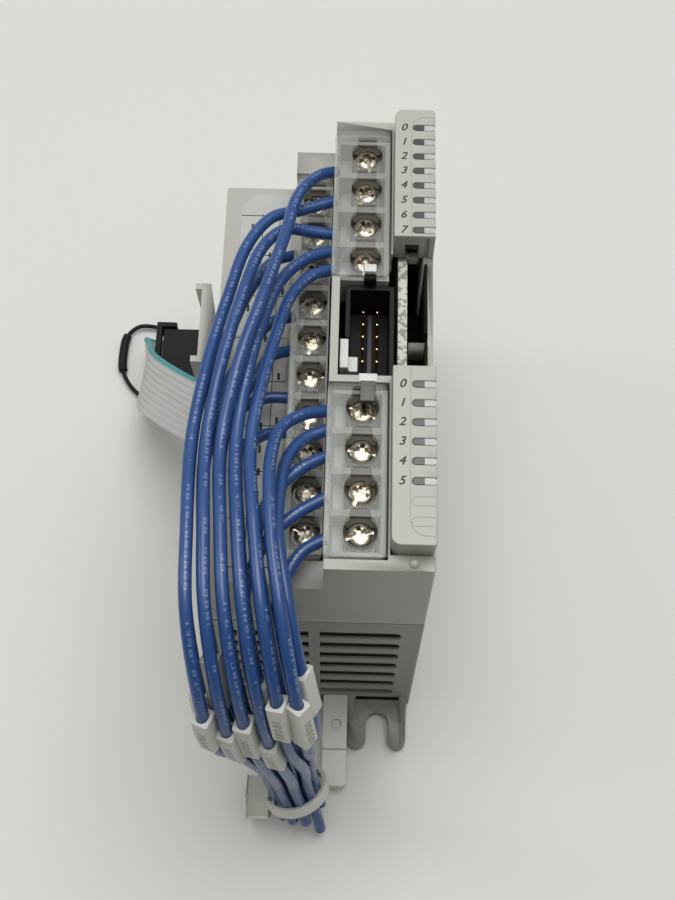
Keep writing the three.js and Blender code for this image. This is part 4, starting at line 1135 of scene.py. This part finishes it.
# %% Ruled lines on the label
LABEL_TOP = 61.02
rows_of(box_template(10.2, 0.16, 0.05),
        ("label_cross_lines", 9, (-11.8, 38.2, LABEL_TOP), (0, -9.4, 0), INK_AND_SHADE))
rows_of(box_template(0.16, 78, 0.05),
        ("label_long_lines", 2, (-12.6, -0.5, LABEL_TOP), (3.4, 0, 0), INK_AND_SHADE))
rows_of(box_template(0.5, 1.5, 0.05), ("label_marks_a", 15, (-8.0, 34.6, LABEL_TOP), (0, -4.7, 0), INK_AND_SHADE),
        ("label_marks_b", 15, (-10.9, 33.4, LABEL_TOP), (0, -4.7, 0), INK_AND_SHADE),
        ("label_marks_c", 15, (-14.6, 35.4, LABEL_TOP), (0, -4.7, 0), INK_AND_SHADE))
print("label ruled")

# %% [markdown]
# The pull loop is a thin cord tied through the plug's clip. A short sleeve is shrunk over its left
# side.

# %% Pull loop
LOOP_ROUTE = [
    (-36.5, 44.7, 1.4), (-40.5, 45.8, 1.3), (-45.2, 46, 1.3), (-47.9, 43.4, 1.3), (-48.6, 38.8, 1.3),
    (-48.2, 33.6, 1.3), (-46.2, 29.8, 1.3), (-43.4, 27, 1.3), (-41.3, 25.2, 1.3),
]
loop_line = walked(smooth_line([at(*p) for p in LOOP_ROUTE]), 0.8 * MM)
loop = swept("pull_cord", loop_line, round_rings(loop_line, 0.5 * MM, (0, 0, 1), 10), BLACK)
sleeve_line = part_of(loop_line, 10.5, 11, 0.8)
loop_sleeve = swept("loop_sleeve", sleeve_line, round_rings(sleeve_line, 1.05 * MM, (0, 0, 1), 12), BLACK)
print("loop:", round(line_length(loop_line) * 1000, 1), "mm")

# %% [markdown]
# Every piece now gets its finish and its body, and the engineering part it stands for is hidden.
# The length of each wire and of the loop is that of its line, and the ribbon's is taken a little
# longer, as six of its widths.


for name, piece in wires.items():
    piece.data.materials.append(JACKET)
    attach(piece, "root")
    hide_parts(f"wire_{name}")
for piece in markers.values():
    piece.data.materials.append(SLEEVE)
    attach(piece, "root")
cable_tie.data.materials.append(TIE)
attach(cable_tie, "root")
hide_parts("cable_tie")
ribbon.data.materials.append(RIBBON)
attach(ribbon, "root")
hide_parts("ribbon_cable")
for piece in (loop, loop_sleeve):
    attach(piece, "root")
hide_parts("pull_loop")

for name, piece in wires.items():
    line = wire_lines[name]
    gathered = [markers[name]] if name in markers else []
    gathered += [cable_tie] if name == "U5" else []
    round(line_length(line), 3)
RIBBON_LEAST_LENGTH = 0.0765  # just over six widths, in metres
ribbon_length = max(line_length(ribbon_line), RIBBON_LEAST_LENGTH)
round(line_length(loop_line), 3)

# %% [markdown]
# The module lies on a pale table under one large soft light from above and behind, with a weaker one
# from the left that draws highlights along the wires.

# %% Table and light
floor_mesh = bmesh.new()
FLOOR_HALF, FLOOR_DROP = 2, -0.0002
floor_corners = ((-FLOOR_HALF, -FLOOR_HALF), (FLOOR_HALF, -FLOOR_HALF), (FLOOR_HALF, FLOOR_HALF),
                 (-FLOOR_HALF, FLOOR_HALF))
floor_mesh.faces.new([floor_mesh.verts.new((*corner, FLOOR_DROP)) for corner in floor_corners])
FLOOR = finish("table_top", (0.7, 0.7, 0.665), (0.715, 0.715, 0.68), (0.6, 0.7), scale=6.0)
floor = from_bmesh("floor", floor_mesh, FLOOR)

world = bpy.data.worlds.new("studio")
bpy.context.scene.world = world
world.use_nodes = True
sky = Flow(world.node_tree)
toward = sky.node("ShaderNodeSeparateXYZ", None, {0: sky.node("ShaderNodeTexCoord")})
height = toward.out("Z") * 0.85 + toward.out("Y") * 0.4 + 0.1
glow = sky.node("ShaderNodeValToRGB", {"stops": [
    (0.0, (0.12, 0.12, 0.115, 1)), (0.35, (0.45, 0.45, 0.44, 1)), (0.75, (1, 1, 0.99, 1)),
    (1.0, (1.1, 1.1, 1.1, 1))]},
    {0: height})
world.node_tree.links.new(glow.socket, world.node_tree.nodes["Background"].inputs["Color"])
world.node_tree.nodes["Background"].inputs["Strength"].default_value = 0.5


def soft_light(name, place, aim, size, power):
    lamp = bpy.data.lights.new(name, "AREA")
    lamp.shape = "DISK"
    lamp.size = size
    lamp.energy = power
    holder = bpy.data.objects.new(name, lamp)
    holder.location = place
    holder.rotation_euler = (Vector(aim) - Vector(place)).to_track_quat("-Z", "Y").to_euler()
    bpy.context.scene.collection.objects.link(holder)


soft_light("overhead", (0.05, 0.12, 0.9), (0, -0.02, 0.03), 0.7, 5.0)
soft_light("left_fill", (-0.6, 0.1, 0.5), (0, 0, 0.05), 0.25, 0.5)
bpy.context.scene.view_settings.view_transform = "Standard"
print("light set")

# %% [markdown]
# The new pieces that wear a finish which the record also names are counted.

# %% Finishes named in the record
SLOTS = ("housing_plastic", "shell_plastic", "bezel_plastic", "block_plastic", "clear_cover", "light_pipe",
         "black_plastic", "gold_pins", "key_plastic", "latch_nylon", "screw_metal", "wire_jacket",
         "ribbon_jacket", "tie_nylon")
named = 0
for piece in bpy.data.objects:
    if piece.type == "MESH" and piece.name not in frame["nodes"]:
        worn = [material.name.split(".")[0] for material in piece.data.materials if material]
        if worn and worn[0] in SLOTS:
            named += 1
print("pieces with a finish from the record:", named)
